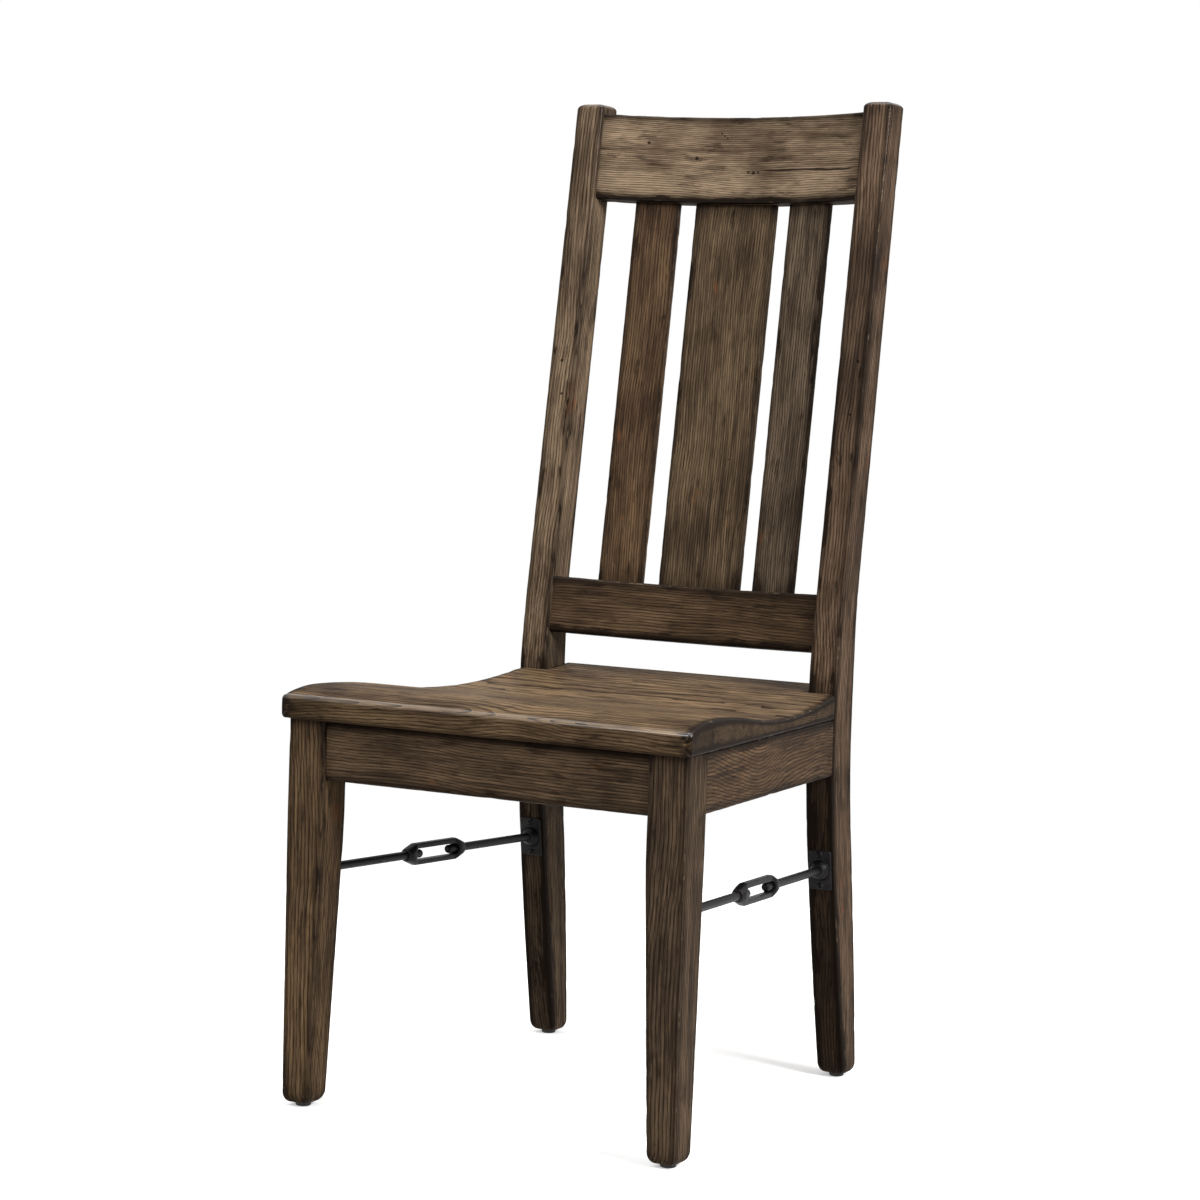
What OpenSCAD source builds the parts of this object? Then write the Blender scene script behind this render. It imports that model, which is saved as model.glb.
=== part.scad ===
// Slat back dining chair in stained oak, with iron turnbuckle stretchers between its legs.
// The chair faces -Y and stands on Z = 0, with its origin in the middle of its bounding box.
// Depths are first measured back from the front faces of the front legs, then the chair is centred.
// Left and right are as seen from the front, so right is +X.

/* [Overall] */
// Height of the post tops above the floor
total_h = 1121; // [1080:1:1180]
// Height of the seat's underside above the floor
seat_under = 422; // [400:0.5:440]
// Width over the outer faces of the front legs
front_w = 478.5; // [440:1:520]
// Width over the outer faces of the rear posts at the seat
rear_w = 411; // [390:0.5:430]
// Radius that eases the long edges of legs and posts
arris_r = 3; // [1:0.5:5]

/* [Seat] */
// Thickness of the seat at the crest behind its front edge
seat_t = 34; // [30:0.5:42]
// How far the scoop lies below that crest
scoop_depth = 17.5; // [8:0.5:20]
// How far the seat stands out in front of the front legs
seat_over_front = 8.5; // [4:0.5:25]
// How far the seat stands out beside the front legs
seat_over_side = 5.5; // [2:0.5:20]
// How far the seat stands out behind the rear posts
seat_over_rear = 6.5; // [0:0.5:12]
// Distance from the front edge back to the crest
crest_run = 56; // [40:1:70]
// Distance from the front edge back to the lowest line of the scoop
scoop_run = 293; // [270:1:310]
// Distance from the rear edge forward to where the scoop begins to roll off
roll_run = 80; // [60:1:90]
// Radius of the rolled front nose
nose_r = 167; // [150:1:220]
// Radius that eases the front edge
edge_r = 5; // [2:0.5:7]
// Radius of the front corners in plan
corner_r = 9; // [4:0.5:20]

/* [Front legs] */
// Width of a front leg at the seat
leg_w = 45.5; // [42:0.5:54]
// Depth of a front leg at the seat
leg_d = 46; // [42:0.5:54]
// How much the inner face tapers in down to the floor
leg_taper = 11.5; // [0:0.5:14]
// How much the front and the rear face each taper in down to the floor
leg_taper_fr = 5; // [0:0.5:7]
// Height above the floor where the taper starts
taper_top = 305; // [295:1:320]
// Height over which the start of the taper is eased
taper_ease = 50; // [20:1:60]

/* [Rear posts] */
// Width of a rear post
post_w = 35; // [32:0.5:40]
// Depth of a rear post at the seat
post_d = 50.5; // [46:0.5:56]
// Depth at the floor
post_d_foot = 32; // [30:0.5:44]
// Depth above the lower back rail
post_d_back = 41.5; // [38:0.5:46]
// Depth at the top
post_d_top = 38.5; // [36:0.5:41]
// Distance from the front legs' front faces back to the posts' middle at the seat
post_set = 455.5; // [440:0.1:470]
// Angle at which the back leans
rake = 7.7; // [4:0.1:10]
// Angle at which the feet sweep backward
foot_sweep = 8.8; // [5:0.1:9]
// Radius of the bend between the two
bend_r = 1100; // [900:1:1500]
// Height of the middle of the bend above the seat's underside
bend_up = 14; // [0:0.5:40]
// How much each post leans inward from the seat up to its top
post_lean = 2; // [0:0.1:5]
// How much each post splays outward from the aprons down to the floor
post_splay = 4; // [0:0.1:6]
// Height of the domed post tops
dome_h = 9; // [4:0.5:12]

/* [Back] */
// How far the crest rail's top lies below the post tops
crest_drop = 12.5; // [6:0.5:30]
// Height of the crest rail
crest_h = 102; // [80:0.5:120]
// Thickness of the crest rail
crest_t = 26; // [24:0.5:28]
// How far the crest rail's front stands before the posts' middle at its ends
crest_set = 13.8; // [12:0.1:16]
// Gap between the seat's crest and the lower back rail
rail_gap = 38; // [25:0.5:60]
// Height of the lower back rail
rail_h = 66; // [50:0.5:80]
// Thickness of the lower back rail
rail_t = 25; // [24:0.5:28]
// How far the lower rail's front stands before the posts' raked middle at its ends
rail_set = 17.5; // [15:0.1:19]
// Radius of the backward bow of both rails
bow_r = 590; // [520:1:800]
// Width of the centre slat
slat_w = 104.5; // [90:0.5:120]
// Width of each side slat
side_slat_w = 55.5; // [40:0.5:70]
// Distance from the middle of the chair to the middle of a side slat
side_slat_x = 98.5; // [94:0.5:112]
// Thickness of the slats
slat_t = 10; // [8:0.5:12]
// How far the slats lie behind the lower rail's front face
slat_set = 13; // [11:0.1:13]

/* [Aprons] */
// Height of the aprons
apron_h = 64; // [50:0.5:75]
// Thickness of the aprons
apron_t = 20; // [18:0.5:24]
// How far the front and rear aprons stand back from the faces of legs and posts
apron_set = 4.5; // [2:0.5:8]
// How far the side aprons stand back from the outer faces of legs and posts
side_apron_set = 1.5; // [1:0.5:8]
// Thickness of the tenons on the aprons
tenon_t = 10; // [8:0.5:12]
// Length of the tenons on aprons and rails
tenon_l = 17; // [12:0.5:18]
// Length of a corner block along each apron
block_l = 72; // [60:1:85]
// Height of the corner blocks
block_h = 32; // [24:1:45]

/* [Iron stretchers] */
// Diameter of the stretcher rods
rod_d = 9.525; // [8:0.005:10]
// Height of the rods' axis at the front legs
rod_front_z = 257; // [236:0.5:260]
// Height of the rods' axis at the rear posts
rod_rear_z = 248.5; // [236:0.5:260]
// Width of the iron plates
plate_w = 27; // [24:0.5:30]
// Height of the iron plates
plate_h = 46; // [42:0.5:50]
// Thickness of the iron plates
plate_t = 3; // [2:0.1:4]
// Radius of the domed socket on each plate
boss_r = 12; // [10.5:0.1:12.5]
// Depth of the socket that holds a rod's end
socket_depth = 6.5; // [5.5:0.1:7]
// Distance between the two screws of a plate
screw_pitch = 37.6; // [34:0.1:38]
// Length of a turnbuckle body
buckle_l = 110; // [100:0.5:140]
// Height over its two bars
buckle_h = 24.8; // [22.5:0.1:28]
// Width of a bar across the window
bar_w = 9; // [7:0.1:12]
// Width of the hubs that the rods thread into
hub_w = 16; // [14:0.1:20]
// Diameter of the hub tips
tip_d = 13; // [12.5:0.1:16]
// Length of the tapered ends
buckle_taper = 16; // [10:0.5:18]
// Length of the window
window_l = 83; // [70:0.5:84]
// Height of the window
window_h = 13; // [11:0.1:14]
// How far a rod's end stands into the window
rod_in = 16; // [8:0.5:25]

/* [Feet and clearances] */
// Height of the foot glides
glide_h = 4.5; // [3:0.5:6]
// Diameter of the foot glides
glide_d = 17; // [14:0.5:22]
// Gap round glued tenons
glue_gap = 0.1; // [0.05:0.05:0.3]
// Gap between the seat and the rear posts
seat_gap = 0.3; // [0.1:0.1:1]
// Radial gap round a rod in its sockets and threads
rod_gap = 0.05; // [0.02:0.01:0.1]
// Gap between a rod's end and the bottom of its socket
end_gap = 0.3; // [0.1:0.1:0.5]
// Radial gap round screws and nails
screw_gap = 0.05; // [0.02:0.01:0.2]

/* [Hidden] */

$fa = 5;
$fs = 0.5;
// Segments of the large arcs of seat and rails
large_fn = 720;
left = -1;
right = 1;
// A little past a face, so that a cut runs clean through it
past = 1;

// Colours
oak_light = "#6b5540";
oak_dark = "#5a4534";
iron = "#2a2a2f";
inner_wood = "#8a6f50";
glide_black = "#1d1c1c";

// Posts: a straight foot, a bend and a straight back
bend_z = seat_under + bend_up;
upper_z = bend_z + bend_r * sin(rake);
upper_y = post_set + bend_r * (1 - cos(rake));
lower_z = bend_z - bend_r * sin(foot_sweep);
lower_y = post_set + bend_r * (1 - cos(foot_sweep));
foot_ease_z = 270;
slim_from = seat_under + 15;
slim_run = 150;
dome_run = 14;
foot_r = 4.5;
post_in = rear_w / 2 - post_w;
// How far outward a post stands at height z from where it stands at the seat
function post_out(z) = z > seat_top ? -post_lean * (z - seat_top) / (total_h - seat_top)
    : z < apron_low ? post_splay * (1 - z / apron_low)
    : 0;

// The curve of a post's middle line, as depth over height
function post_y(z) = z > upper_z ? upper_y + (z - upper_z) * tan(rake)
    : z > lower_z ? post_set + bend_r - sqrt(bend_r * bend_r - (z - bend_z) * (z - bend_z))
    : lower_y + (lower_z - z) * tan(foot_sweep);
function clamp01(t) = min(max(t, 0), 1);
function ease(t) = clamp01(t) * clamp01(t) * (3 - 2 * clamp01(t));
// The depth of a post over height: slimmer to the foot, above the seat and to the top
function post_depth(z) = post_d
    - (post_d - post_d_foot) * pow(clamp01(1 - z / foot_ease_z), 2)
    - (post_d - post_d_back) * ease((z - slim_from) / slim_run)
    - (post_d_back - post_d_top) * clamp01((z - slim_from - slim_run) / (total_h - slim_from - slim_run));
function post_front(z) = post_y(z) - post_depth(z) / 2;
function post_rear(z) = post_y(z) + post_depth(z) / 2;

// How far a front leg's inner face has tapered in at height z, and then its front or rear face
function taper_in(z) = z > taper_top + taper_ease / 2 ? 0
    : z < taper_top - taper_ease / 2 ? leg_taper * (1 - z / taper_top)
    : leg_taper / taper_top * pow(taper_top + taper_ease / 2 - z, 2) / (2 * taper_ease);

function taper_fr(z) = taper_in(z) * leg_taper_fr / leg_taper;

// Seat
seat_front = -seat_over_front;
seat_rear = post_rear(seat_under) + seat_over_rear;
seat_top = seat_under + seat_t;
crest_y = seat_front + crest_run;
low_y = seat_front + scoop_run;
notch_y = post_front(bend_z) - seat_gap;
scoop_half = (low_y - crest_y) / 2;
scoop_r = (pow(scoop_half, 2) + pow(scoop_depth / 2, 2)) / scoop_depth;

// Back frame, measured along the rake from the top of the bend
function along_rake(z) = (z - upper_z) / cos(rake);
crest_top = along_rake(total_h - crest_drop);
crest_low = crest_top - crest_h;
rail_low = along_rake(seat_top + rail_gap);
rail_top = rail_low + rail_h;
bow_back = sqrt(pow(bow_r, 2) - pow(post_in, 2));
bow_centre = -rail_set - bow_back;
rail_tenon_t = 12;
rail_tenon_in = 7;
// How far the rails' tenons start inside their ends
rail_tenon_root = 12;
rail_edge_r = 3.5;
slat_edge_r = 2;
crest_back = bow_r - bow_back - crest_set + crest_t;

// Centring between the seat's front edge and the back of the bowed crest rail
crest_end = upper_y + (crest_back - rail_edge_r) * cos(rake) + (crest_top - rail_edge_r) * sin(rake)
    + rail_edge_r;
rear_end = max(crest_end, post_rear(total_h - dome_h), seat_rear, post_rear(glide_h + foot_r));
middle_y = (seat_front + rear_end) / 2;

slat_tenon_t = 6;
slat_tenon_l = 12;
slat_shoulder = 6;
side_turn = asin(side_slat_x / (bow_r + slat_set));

// Aprons
apron_low = seat_under - apron_h;
apron_slope = atan((front_w - rear_w) / 2 / post_front(apron_low));
apron_edge_r = 2.5;
apron_shoulder = 7;
// The rear apron's tenons stop short of the side aprons' inside the posts
rear_tenon_l = tenon_l - 3;
// How far the side aprons' tenons start inside the slanted shoulders
tenon_root = 6;
rear_apron_y = post_rear(apron_low) - apron_set - apron_t;
// Inner face of a side apron, as a distance from the chair's middle
function side_apron_in(y) = front_w / 2 - side_apron_set - apron_t / cos(apron_slope) - y * tan(apron_slope);

// Corner blocks stand a little off the legs
block_gap = 1;
block_low = seat_under - block_h;
block_screw_d = 4.2;
block_screw_l = 36;
block_screw_back = 25;
screw_head_h = 2.5;
seat_screw_reach = 12;
seat_screw_l = block_h + seat_screw_reach;
seat_screw_in = 15;
block_screw_z = block_low + block_h / 2;

// Iron stretchers: each runs from a point on a front leg to a point on a rear post
plate_zone = plate_h / 2 + 8;
zone_low = rod_rear_z - plate_zone;
zone_high = rod_rear_z + plate_zone;
zone_part = (rod_rear_z - zone_low) / (zone_high - zone_low);
rear_face_y = post_front(zone_low) * (1 - zone_part) + post_front(zone_high) * zone_part;
rear_face_tilt = atan((post_front(zone_low) - post_front(zone_high)) / (zone_high - zone_low));
leg_face_tilt = atan(leg_taper_fr / taper_top);
rod_front = [(front_w - leg_w + taper_in(rod_front_z)) / 2, leg_d - taper_fr(rod_front_z), rod_front_z];
rod_rear = [rear_w / 2 - post_w / 2 + post_out(rod_rear_z), rear_face_y, rod_rear_z];
rod_run = rod_rear - rod_front;
rod_span = norm(rod_run);
socket_from = sqrt(pow(boss_r, 2) - pow(rod_d / 2, 2)) - socket_depth;
rod_l = (rod_span - window_l) / 2 + rod_in - socket_from - end_gap;
rod_tip_r = 1.5;
plate_edge_r = 2;
plate_screw_d = 4;
plate_screw_l = 18;
plate_head_d = 8.4;
plate_head_h = 2.3;
nail_d = 3;
nail_l = 14;

// Centres the chair front to back
module stand() {
    translate([0, -middle_y, 0]) children();
}

// Draws a right-hand piece, or its mirror image for the left
module on_side(side) {
    mirror([side < 0 ? 1 : 0, 0, 0]) children();
}

// Rounded rectangle made of squares and circles, with its corner at the origin
module eased_rect(a, b, r) {
    translate([r, 0]) square([a - 2 * r, b]);
    translate([0, r]) square([a, b - 2 * r]);
    for (x = [r, a - r], y = [r, b - r]) translate([x, y]) circle(r);
}

// Bar along X with its four long edges eased: d deep and h high, from x0 to x1
module eased_bar(x0, x1, d, h, r) {
    translate([x0, 0, 0]) rotate([90, 0, 90]) linear_extrude(x1 - x0) eased_rect(d, h, r);
}

// One ring of a loft: a rounded rectangle at height z
ring_steps = 3;
function ring(x0, x1, y0, y1, z, r) = [
    for (c = [[x1 - r, y1 - r, 0], [x0 + r, y1 - r, 90], [x0 + r, y0 + r, 180], [x1 - r, y0 + r, 270]])
        for (k = [0:ring_steps])
            [c[0] + r * cos(c[2] + 90 * k / ring_steps), c[1] + r * sin(c[2] + 90 * k / ring_steps), z]];

// Solid through a stack of rings with equal numbers of points
module loft(rings) {
    n = len(rings[0]);
    last = (len(rings) - 1) * n;
    polyhedron(
        points = [for (one = rings) for (p = one) p],
        faces = concat(
            [[for (k = [0:n - 1]) k]],
            [[for (k = [n - 1:-1:0]) last + k]],
            [for (j = [0:len(rings) - 2]) for (k = [0:n - 1]) for (half = [0, 1])
                half == 0 ? [j * n + k, (j + 1) * n + k, (j + 1) * n + (k + 1) % n]
                    : [j * n + k, (j + 1) * n + (k + 1) % n, j * n + (k + 1) % n]]));
}

// Frame of the leaning back: X across, Y through its thickness, Z up along the rake
module raked() {
    translate([0, upper_y, upper_z]) rotate([-rake, 0, 0]) children();
}

// Frame of a stretcher: Z runs along the rod from the front leg to the rear post, X points down
module along_rod() {
    turn = atan2(rod_run[1], rod_run[0]);
    tip = acos(rod_run[2] / rod_span);
    translate(rod_front) rotate([0, tip, turn]) children();
}

// Frame of an iron plate, with Z out of the wood
module front_plate_frame() {
    translate(rod_front) rotate([-90 - leg_face_tilt, 0, 0]) children();
}
module rear_plate_frame() {
    translate(rod_rear) rotate([90 + rear_face_tilt, 0, 0]) children();
}

// Seat, drawn as one side profile across the whole width and trimmed to its outline in plan
function arc_points(centre, r, from, to, steps) = [
    for (k = [0:steps]) let (turn = from + (to - from) * k / steps) centre + r * [cos(turn), sin(turn)]];

module seat_profile() {
    nose_z = seat_top - nose_r + sqrt(pow(nose_r - edge_r, 2) - pow(crest_run - edge_r, 2));
    join_y = crest_y - (crest_run - edge_r) * nose_r / (nose_r - edge_r);
    turn_y = crest_y + scoop_half;
    roll_y = seat_rear - roll_run;
    roll_angle = asin((roll_y - low_y) / scoop_r);
    scoop_centre = [low_y, seat_top - scoop_depth + scoop_r];
    difference() {
        translate([seat_front, seat_under]) square([seat_rear - seat_front, seat_t]);
        // eased front edge, above and below
        difference() {
            translate([seat_front - past, nose_z]) square([join_y - seat_front + past, seat_t]);
            translate([seat_front + edge_r, nose_z]) circle(edge_r);
        }
        difference() {
            translate([seat_front - past, seat_under - past]) square(edge_r + past);
            translate([seat_front + edge_r, seat_under + edge_r]) circle(edge_r);
        }
        // rolled nose up to the crest
        difference() {
            translate([seat_front - past, nose_z]) square([crest_run + past, seat_t]);
            translate([crest_y, seat_top - nose_r]) circle(nose_r, $fn = large_fn);
        }
        // fall from the crest
        difference() {
            translate([crest_y, seat_under + edge_r]) square([turn_y - crest_y, seat_t]);
            translate([crest_y, seat_top - scoop_r]) circle(scoop_r, $fn = large_fn);
        }
        // scoop
        translate(scoop_centre) circle(scoop_r, $fn = large_fn);
        // roll-off at the rear
        difference() {
            translate([roll_y, seat_under + edge_r]) square([roll_run + past, seat_t]);
            translate(scoop_centre + 2 * scoop_r * [sin(roll_angle), -cos(roll_angle)])
                circle(scoop_r, $fn = large_fn);
        }
    }
}

module seat_plan() {
    half_front = front_w / 2 + seat_over_side;
    half_rear = rear_w / 2;
    lean = atan((half_front - half_rear) / (notch_y - seat_front));
    inner = post_in - seat_gap;
    corner_x = half_front - corner_r * (1 - sin(lean)) / cos(lean);
    right_corner = arc_points([corner_x, seat_front + corner_r], corner_r, -90, lean, 6);
    left_corner = [for (k = [len(right_corner) - 1:-1:0]) [-right_corner[k][0], right_corner[k][1]]];
    polygon(concat(right_corner,
        [[half_rear, notch_y], [inner, notch_y], [inner, seat_rear],
            [-inner, seat_rear], [-inner, notch_y], [-half_rear, notch_y]],
        left_corner));
}

module seat() {
    color(oak_light) stand() difference() {
        intersection() {
            translate([-front_w, 0, 0]) rotate([90, 0, 90]) linear_extrude(2 * front_w) seat_profile();
            translate([0, 0, seat_under - past]) linear_extrude(seat_t + 2 * past) seat_plan();
        }
        for (side = [left, right]) on_side(side) seat_screws_on_side(screw_gap);
    }
}

// Front legs
module front_leg(side) {
    rounding = [for (k = [0:3]) [glide_h + foot_r * (1 - cos(30 * k)), foot_r * (1 - sin(30 * k))]];
    taper = [for (k = [0:5]) [taper_top + taper_ease * (k / 5 - 0.5), 0]];
    stations = concat(rounding, taper, [[seat_under, 0]]);
    color(oak_dark) stand() on_side(side) difference() {
        loft([for (s = stations) ring(
            front_w / 2 - leg_w + taper_in(s[0]) + s[1], front_w / 2 - s[1],
            taper_fr(s[0]) + s[1], leg_d - taper_fr(s[0]) - s[1], s[0], arris_r)]);
        front_apron_tenon(glue_gap);
        side_apron_tenons(glue_gap);
        front_plate_frame() plate_screw_shanks(screw_gap);
        front_foot() nail(screw_gap);
    }
}
module front_leg_left() { front_leg(left); }
module front_leg_right() { front_leg(right); }

// Rear posts
module rear_post(side) {
    rounding = [for (k = [0:3]) [glide_h + foot_r * (1 - cos(30 * k)), foot_r * (1 - sin(30 * k))]];
    foot = [for (k = [1:4]) [glide_h + foot_r + (zone_low - glide_h - foot_r) * k / 4, 0]];
    knee = [for (z = [zone_high, (zone_high + apron_low) / 2, apron_low, seat_under]) [z, 0]];
    bend = [for (k = [1:7]) [seat_under + (upper_z - seat_under) * k / 7, 0]];
    dome = [for (k = [0:4]) [total_h - dome_h * (1 - sin(22.5 * k)), dome_run * (1 - cos(22.5 * k))]];
    color(oak_dark) stand() on_side(side) difference() {
        loft([for (s = concat(rounding, foot, knee, bend, dome)) ring(
            post_in + post_out(s[0]) + s[1], rear_w / 2 + post_out(s[0]) - s[1],
            post_front(s[0]) + s[1], post_rear(s[0]) - s[1], s[0], arris_r)]);
        side_apron_tenons(glue_gap);
        rear_apron_tenon(glue_gap);
        raked() crest_tenon(glue_gap);
        raked() rail_tenon(glue_gap);
        rear_plate_frame() plate_screw_shanks(screw_gap);
        rear_foot() nail(screw_gap);
    }
}
module rear_post_left() { rear_post(left); }
module rear_post_right() { rear_post(right); }

// Aprons and their tenons
module apron_tenon(length, grow) {
    translate([0, (apron_t - tenon_t) / 2 - grow, apron_shoulder - grow])
        cube([length + grow, tenon_t + 2 * grow, apron_h - 2 * apron_shoulder + 2 * grow]);
}
module front_apron_tenon(grow = 0) {
    translate([front_w / 2 - leg_w - past, apron_set, apron_low]) apron_tenon(tenon_l + past, grow);
}
module front_apron() {
    half = front_w / 2 - leg_w;
    color(oak_dark) stand() difference() {
        union() {
            translate([0, apron_set, apron_low])
                eased_bar(-half, half, apron_t, apron_h, apron_edge_r);
            for (side = [left, right]) on_side(side) front_apron_tenon();
        }
        for (side = [left, right]) on_side(side) front_block_place() block_screw(screw_gap);
    }
}

module rear_apron_tenon(grow = 0) {
    translate([post_in - past, rear_apron_y, apron_low]) apron_tenon(rear_tenon_l + past, grow);
}
module rear_apron() {
    color(oak_dark) stand() difference() {
        union() {
            translate([0, rear_apron_y, apron_low])
                eased_bar(-post_in, post_in, apron_t, apron_h, apron_edge_r);
            for (side = [left, right]) on_side(side) rear_apron_tenon();
        }
        for (side = [left, right]) on_side(side) rear_block_place() block_screw(screw_gap);
    }
}

// Frame of a side apron: X runs back along its outer face from the front legs' front plane
module side_apron_frame() {
    translate([front_w / 2 - side_apron_set, 0, apron_low]) rotate([0, 0, 90 + apron_slope]) children();
}
module side_apron_tenons(grow = 0) {
    front_x = leg_d / cos(apron_slope);
    rear_x = post_front(apron_low) / cos(apron_slope);
    for (x = [front_x - tenon_l - grow, rear_x - tenon_root])
        side_apron_frame() translate([x, 0, 0]) apron_tenon(tenon_l + tenon_root / 2, grow);
}
module side_apron(side) {
    color(oak_dark) stand() on_side(side) difference() {
        union() {
            intersection() {
                side_apron_frame() eased_bar(0, post_set, apron_t, apron_h, apron_edge_r);
                rotate([90, 0, 90]) linear_extrude(front_w) polygon([
                    [leg_d, apron_low - past], [leg_d, seat_under + past],
                    [post_front(seat_under), seat_under + past], [post_front(seat_under), seat_under],
                    [post_front(apron_low), apron_low], [post_front(apron_low), apron_low - past]]);
            }
            side_apron_tenons();
        }
        side_block_places() block_screw(screw_gap);
    }
}
module side_apron_left() { side_apron(left); }
module side_apron_right() { side_apron(right); }

// Rails of the back, each bowed backward between the posts
module bowed_rail(low, h, t, set) {
    centre = -set - bow_back;
    reach = 20;
    intersection() {
        raked() translate([0, centre, low]) rotate([0, 0, 90 - reach])
            rotate_extrude(angle = 2 * reach, $fn = large_fn)
                translate([bow_r, 0]) eased_rect(t, h, rail_edge_r);
        between_posts();
    }
}
// The room between the inner faces of the leaning posts
module between_posts() {
    top_in = post_in + post_out(total_h);
    translate([0, front_w + rear_w, 0]) rotate([90, 0, 0]) linear_extrude(front_w + rear_w) polygon([
        [-post_in, seat_top], [post_in, seat_top], [top_in, total_h], [-top_in, total_h]]);
}
module rail_end_tenon(low, h, set, grow) {
    translate([post_in - rail_tenon_root, rail_tenon_in - set - grow, low + apron_shoulder - grow])
        cube([tenon_l + rail_tenon_root + grow, rail_tenon_t + 2 * grow, h - 2 * apron_shoulder + 2 * grow]);
}
module crest_tenon(grow = 0) { rail_end_tenon(crest_low, crest_h, crest_set, grow); }
module rail_tenon(grow = 0) { rail_end_tenon(rail_low, rail_h, rail_set, grow); }

module crest_rail() {
    color(oak_light) stand() difference() {
        union() {
            bowed_rail(crest_low, crest_h, crest_t, crest_set);
            for (side = [left, right]) on_side(side) raked() crest_tenon();
        }
        raked() slat_tenons(glue_gap);
    }
}
module lower_back_rail() {
    color(oak_light) stand() difference() {
        union() {
            bowed_rail(rail_low, rail_h, rail_t, rail_set);
            for (side = [left, right]) on_side(side) raked() rail_tenon();
        }
        raked() slat_tenons(glue_gap);
    }
}

// Slats stand on the bow at an angle round its centre
module on_bow(turn) {
    translate([0, bow_centre, 0]) rotate([0, 0, -turn]) translate([0, bow_r + slat_set, 0]) children();
}
module slat_tenon_bar(w, grow) {
    low = rail_top - slat_tenon_l - grow;
    high = crest_low + slat_tenon_l + grow;
    translate([-w / 2 + slat_shoulder - grow, (slat_t - slat_tenon_t) / 2 - grow, low])
        cube([w - 2 * slat_shoulder + 2 * grow, slat_tenon_t + 2 * grow, high - low]);
}
module slat_tenons(grow) {
    on_bow(0) slat_tenon_bar(slat_w, grow);
    for (side = [left, right]) on_bow(side * side_turn) slat_tenon_bar(side_slat_w, grow);
}
module slat(w, turn) {
    color(oak_dark) stand() raked() on_bow(turn) {
        translate([-w / 2, 0, rail_top]) linear_extrude(crest_low - rail_top)
            eased_rect(w, slat_t, slat_edge_r);
        slat_tenon_bar(w, 0);
    }
}
module centre_slat() { slat(slat_w, 0); }
module side_slat_left() { slat(side_slat_w, -side_turn); }
module side_slat_right() { slat(side_slat_w, side_turn); }

// Corner blocks: each is notched round its leg and screwed to two aprons and to the seat
module front_block_plan() {
    leg_x = front_w / 2 - leg_w - block_gap;
    leg_y = leg_d + block_gap;
    apron_y = apron_set + apron_t;
    polygon([[leg_x - block_l, apron_y], [leg_x, apron_y], [leg_x, leg_y], [side_apron_in(leg_y), leg_y],
        [side_apron_in(leg_y + block_l), leg_y + block_l]]);
}
module rear_block_plan() {
    post_x = post_in - block_gap;
    post_y0 = post_front(seat_under) - block_gap;
    polygon([[post_x - block_l, rear_apron_y], [side_apron_in(post_y0 - block_l), post_y0 - block_l],
        [side_apron_in(post_y0), post_y0], [post_x, post_y0], [post_x, rear_apron_y]]);
}

// Places of the screws that hold the blocks to the aprons
module front_block_place() {
    translate([front_w / 2 - leg_w - block_screw_back, apron_set + apron_t - tenon_t, block_screw_z])
        rotate([-90, 0, 0]) children();
}
module rear_block_place() {
    translate([post_in - block_screw_back, rear_apron_y + tenon_t, block_screw_z])
        rotate([90, 0, 0]) children();
}
module side_block_places() {
    front_x = (leg_d + block_screw_back) / cos(apron_slope);
    rear_x = (post_front(seat_under) - block_screw_back) / cos(apron_slope);
    for (x = [front_x, rear_x])
        side_apron_frame() translate([x, apron_t - tenon_t, block_screw_z - apron_low])
            rotate([-90, 0, 0]) children();
}
module block_places() {
    front_block_place() children();
    rear_block_place() children();
    side_block_places() children();
}
module screw_head(grow) {
    cylinder(h = screw_head_h + grow, d = 2 * block_screw_d + 2 * grow);
}
module block_screw(grow = 0) {
    cylinder(h = block_screw_l, d = block_screw_d + 2 * grow);
    translate([0, 0, block_screw_l]) screw_head(grow);
}
// Room for a screw's head and the driver on the slanted face of a block
module driver_room() {
    translate([0, 0, block_screw_l]) cylinder(h = block_l, d = 2 * block_screw_d + past);
}

// Screws up through the blocks into the seat
module seat_screw(grow) {
    translate([0, 0, block_low]) cylinder(h = seat_screw_l + grow, d = block_screw_d + 2 * grow);
    translate([0, 0, block_low - screw_head_h]) screw_head(grow);
}
module seat_screws_on_side(grow = 0) {
    translate([front_w / 2 - leg_w - seat_screw_in, leg_d + seat_screw_in, 0]) seat_screw(grow);
    translate([post_in - seat_screw_in, post_front(seat_under) - seat_screw_in, 0]) seat_screw(grow);
}

module corner_block(side) {
    color(inner_wood) stand() on_side(side) difference() {
        translate([0, 0, block_low]) linear_extrude(block_h) children();
        block_places() {
            block_screw(screw_gap);
            driver_room();
        }
        seat_screws_on_side(screw_gap);
    }
}
module corner_block_front_left() { corner_block(left) front_block_plan(); }
module corner_block_front_right() { corner_block(right) front_block_plan(); }
module corner_block_rear_left() { corner_block(left) rear_block_plan(); }
module corner_block_rear_right() { corner_block(right) rear_block_plan(); }

module corner_block_screws() {
    color(iron) stand() for (side = [left, right]) on_side(side) block_places() block_screw();
}
module seat_screws() {
    color(iron) stand() for (side = [left, right]) on_side(side) seat_screws_on_side();
}

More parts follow.
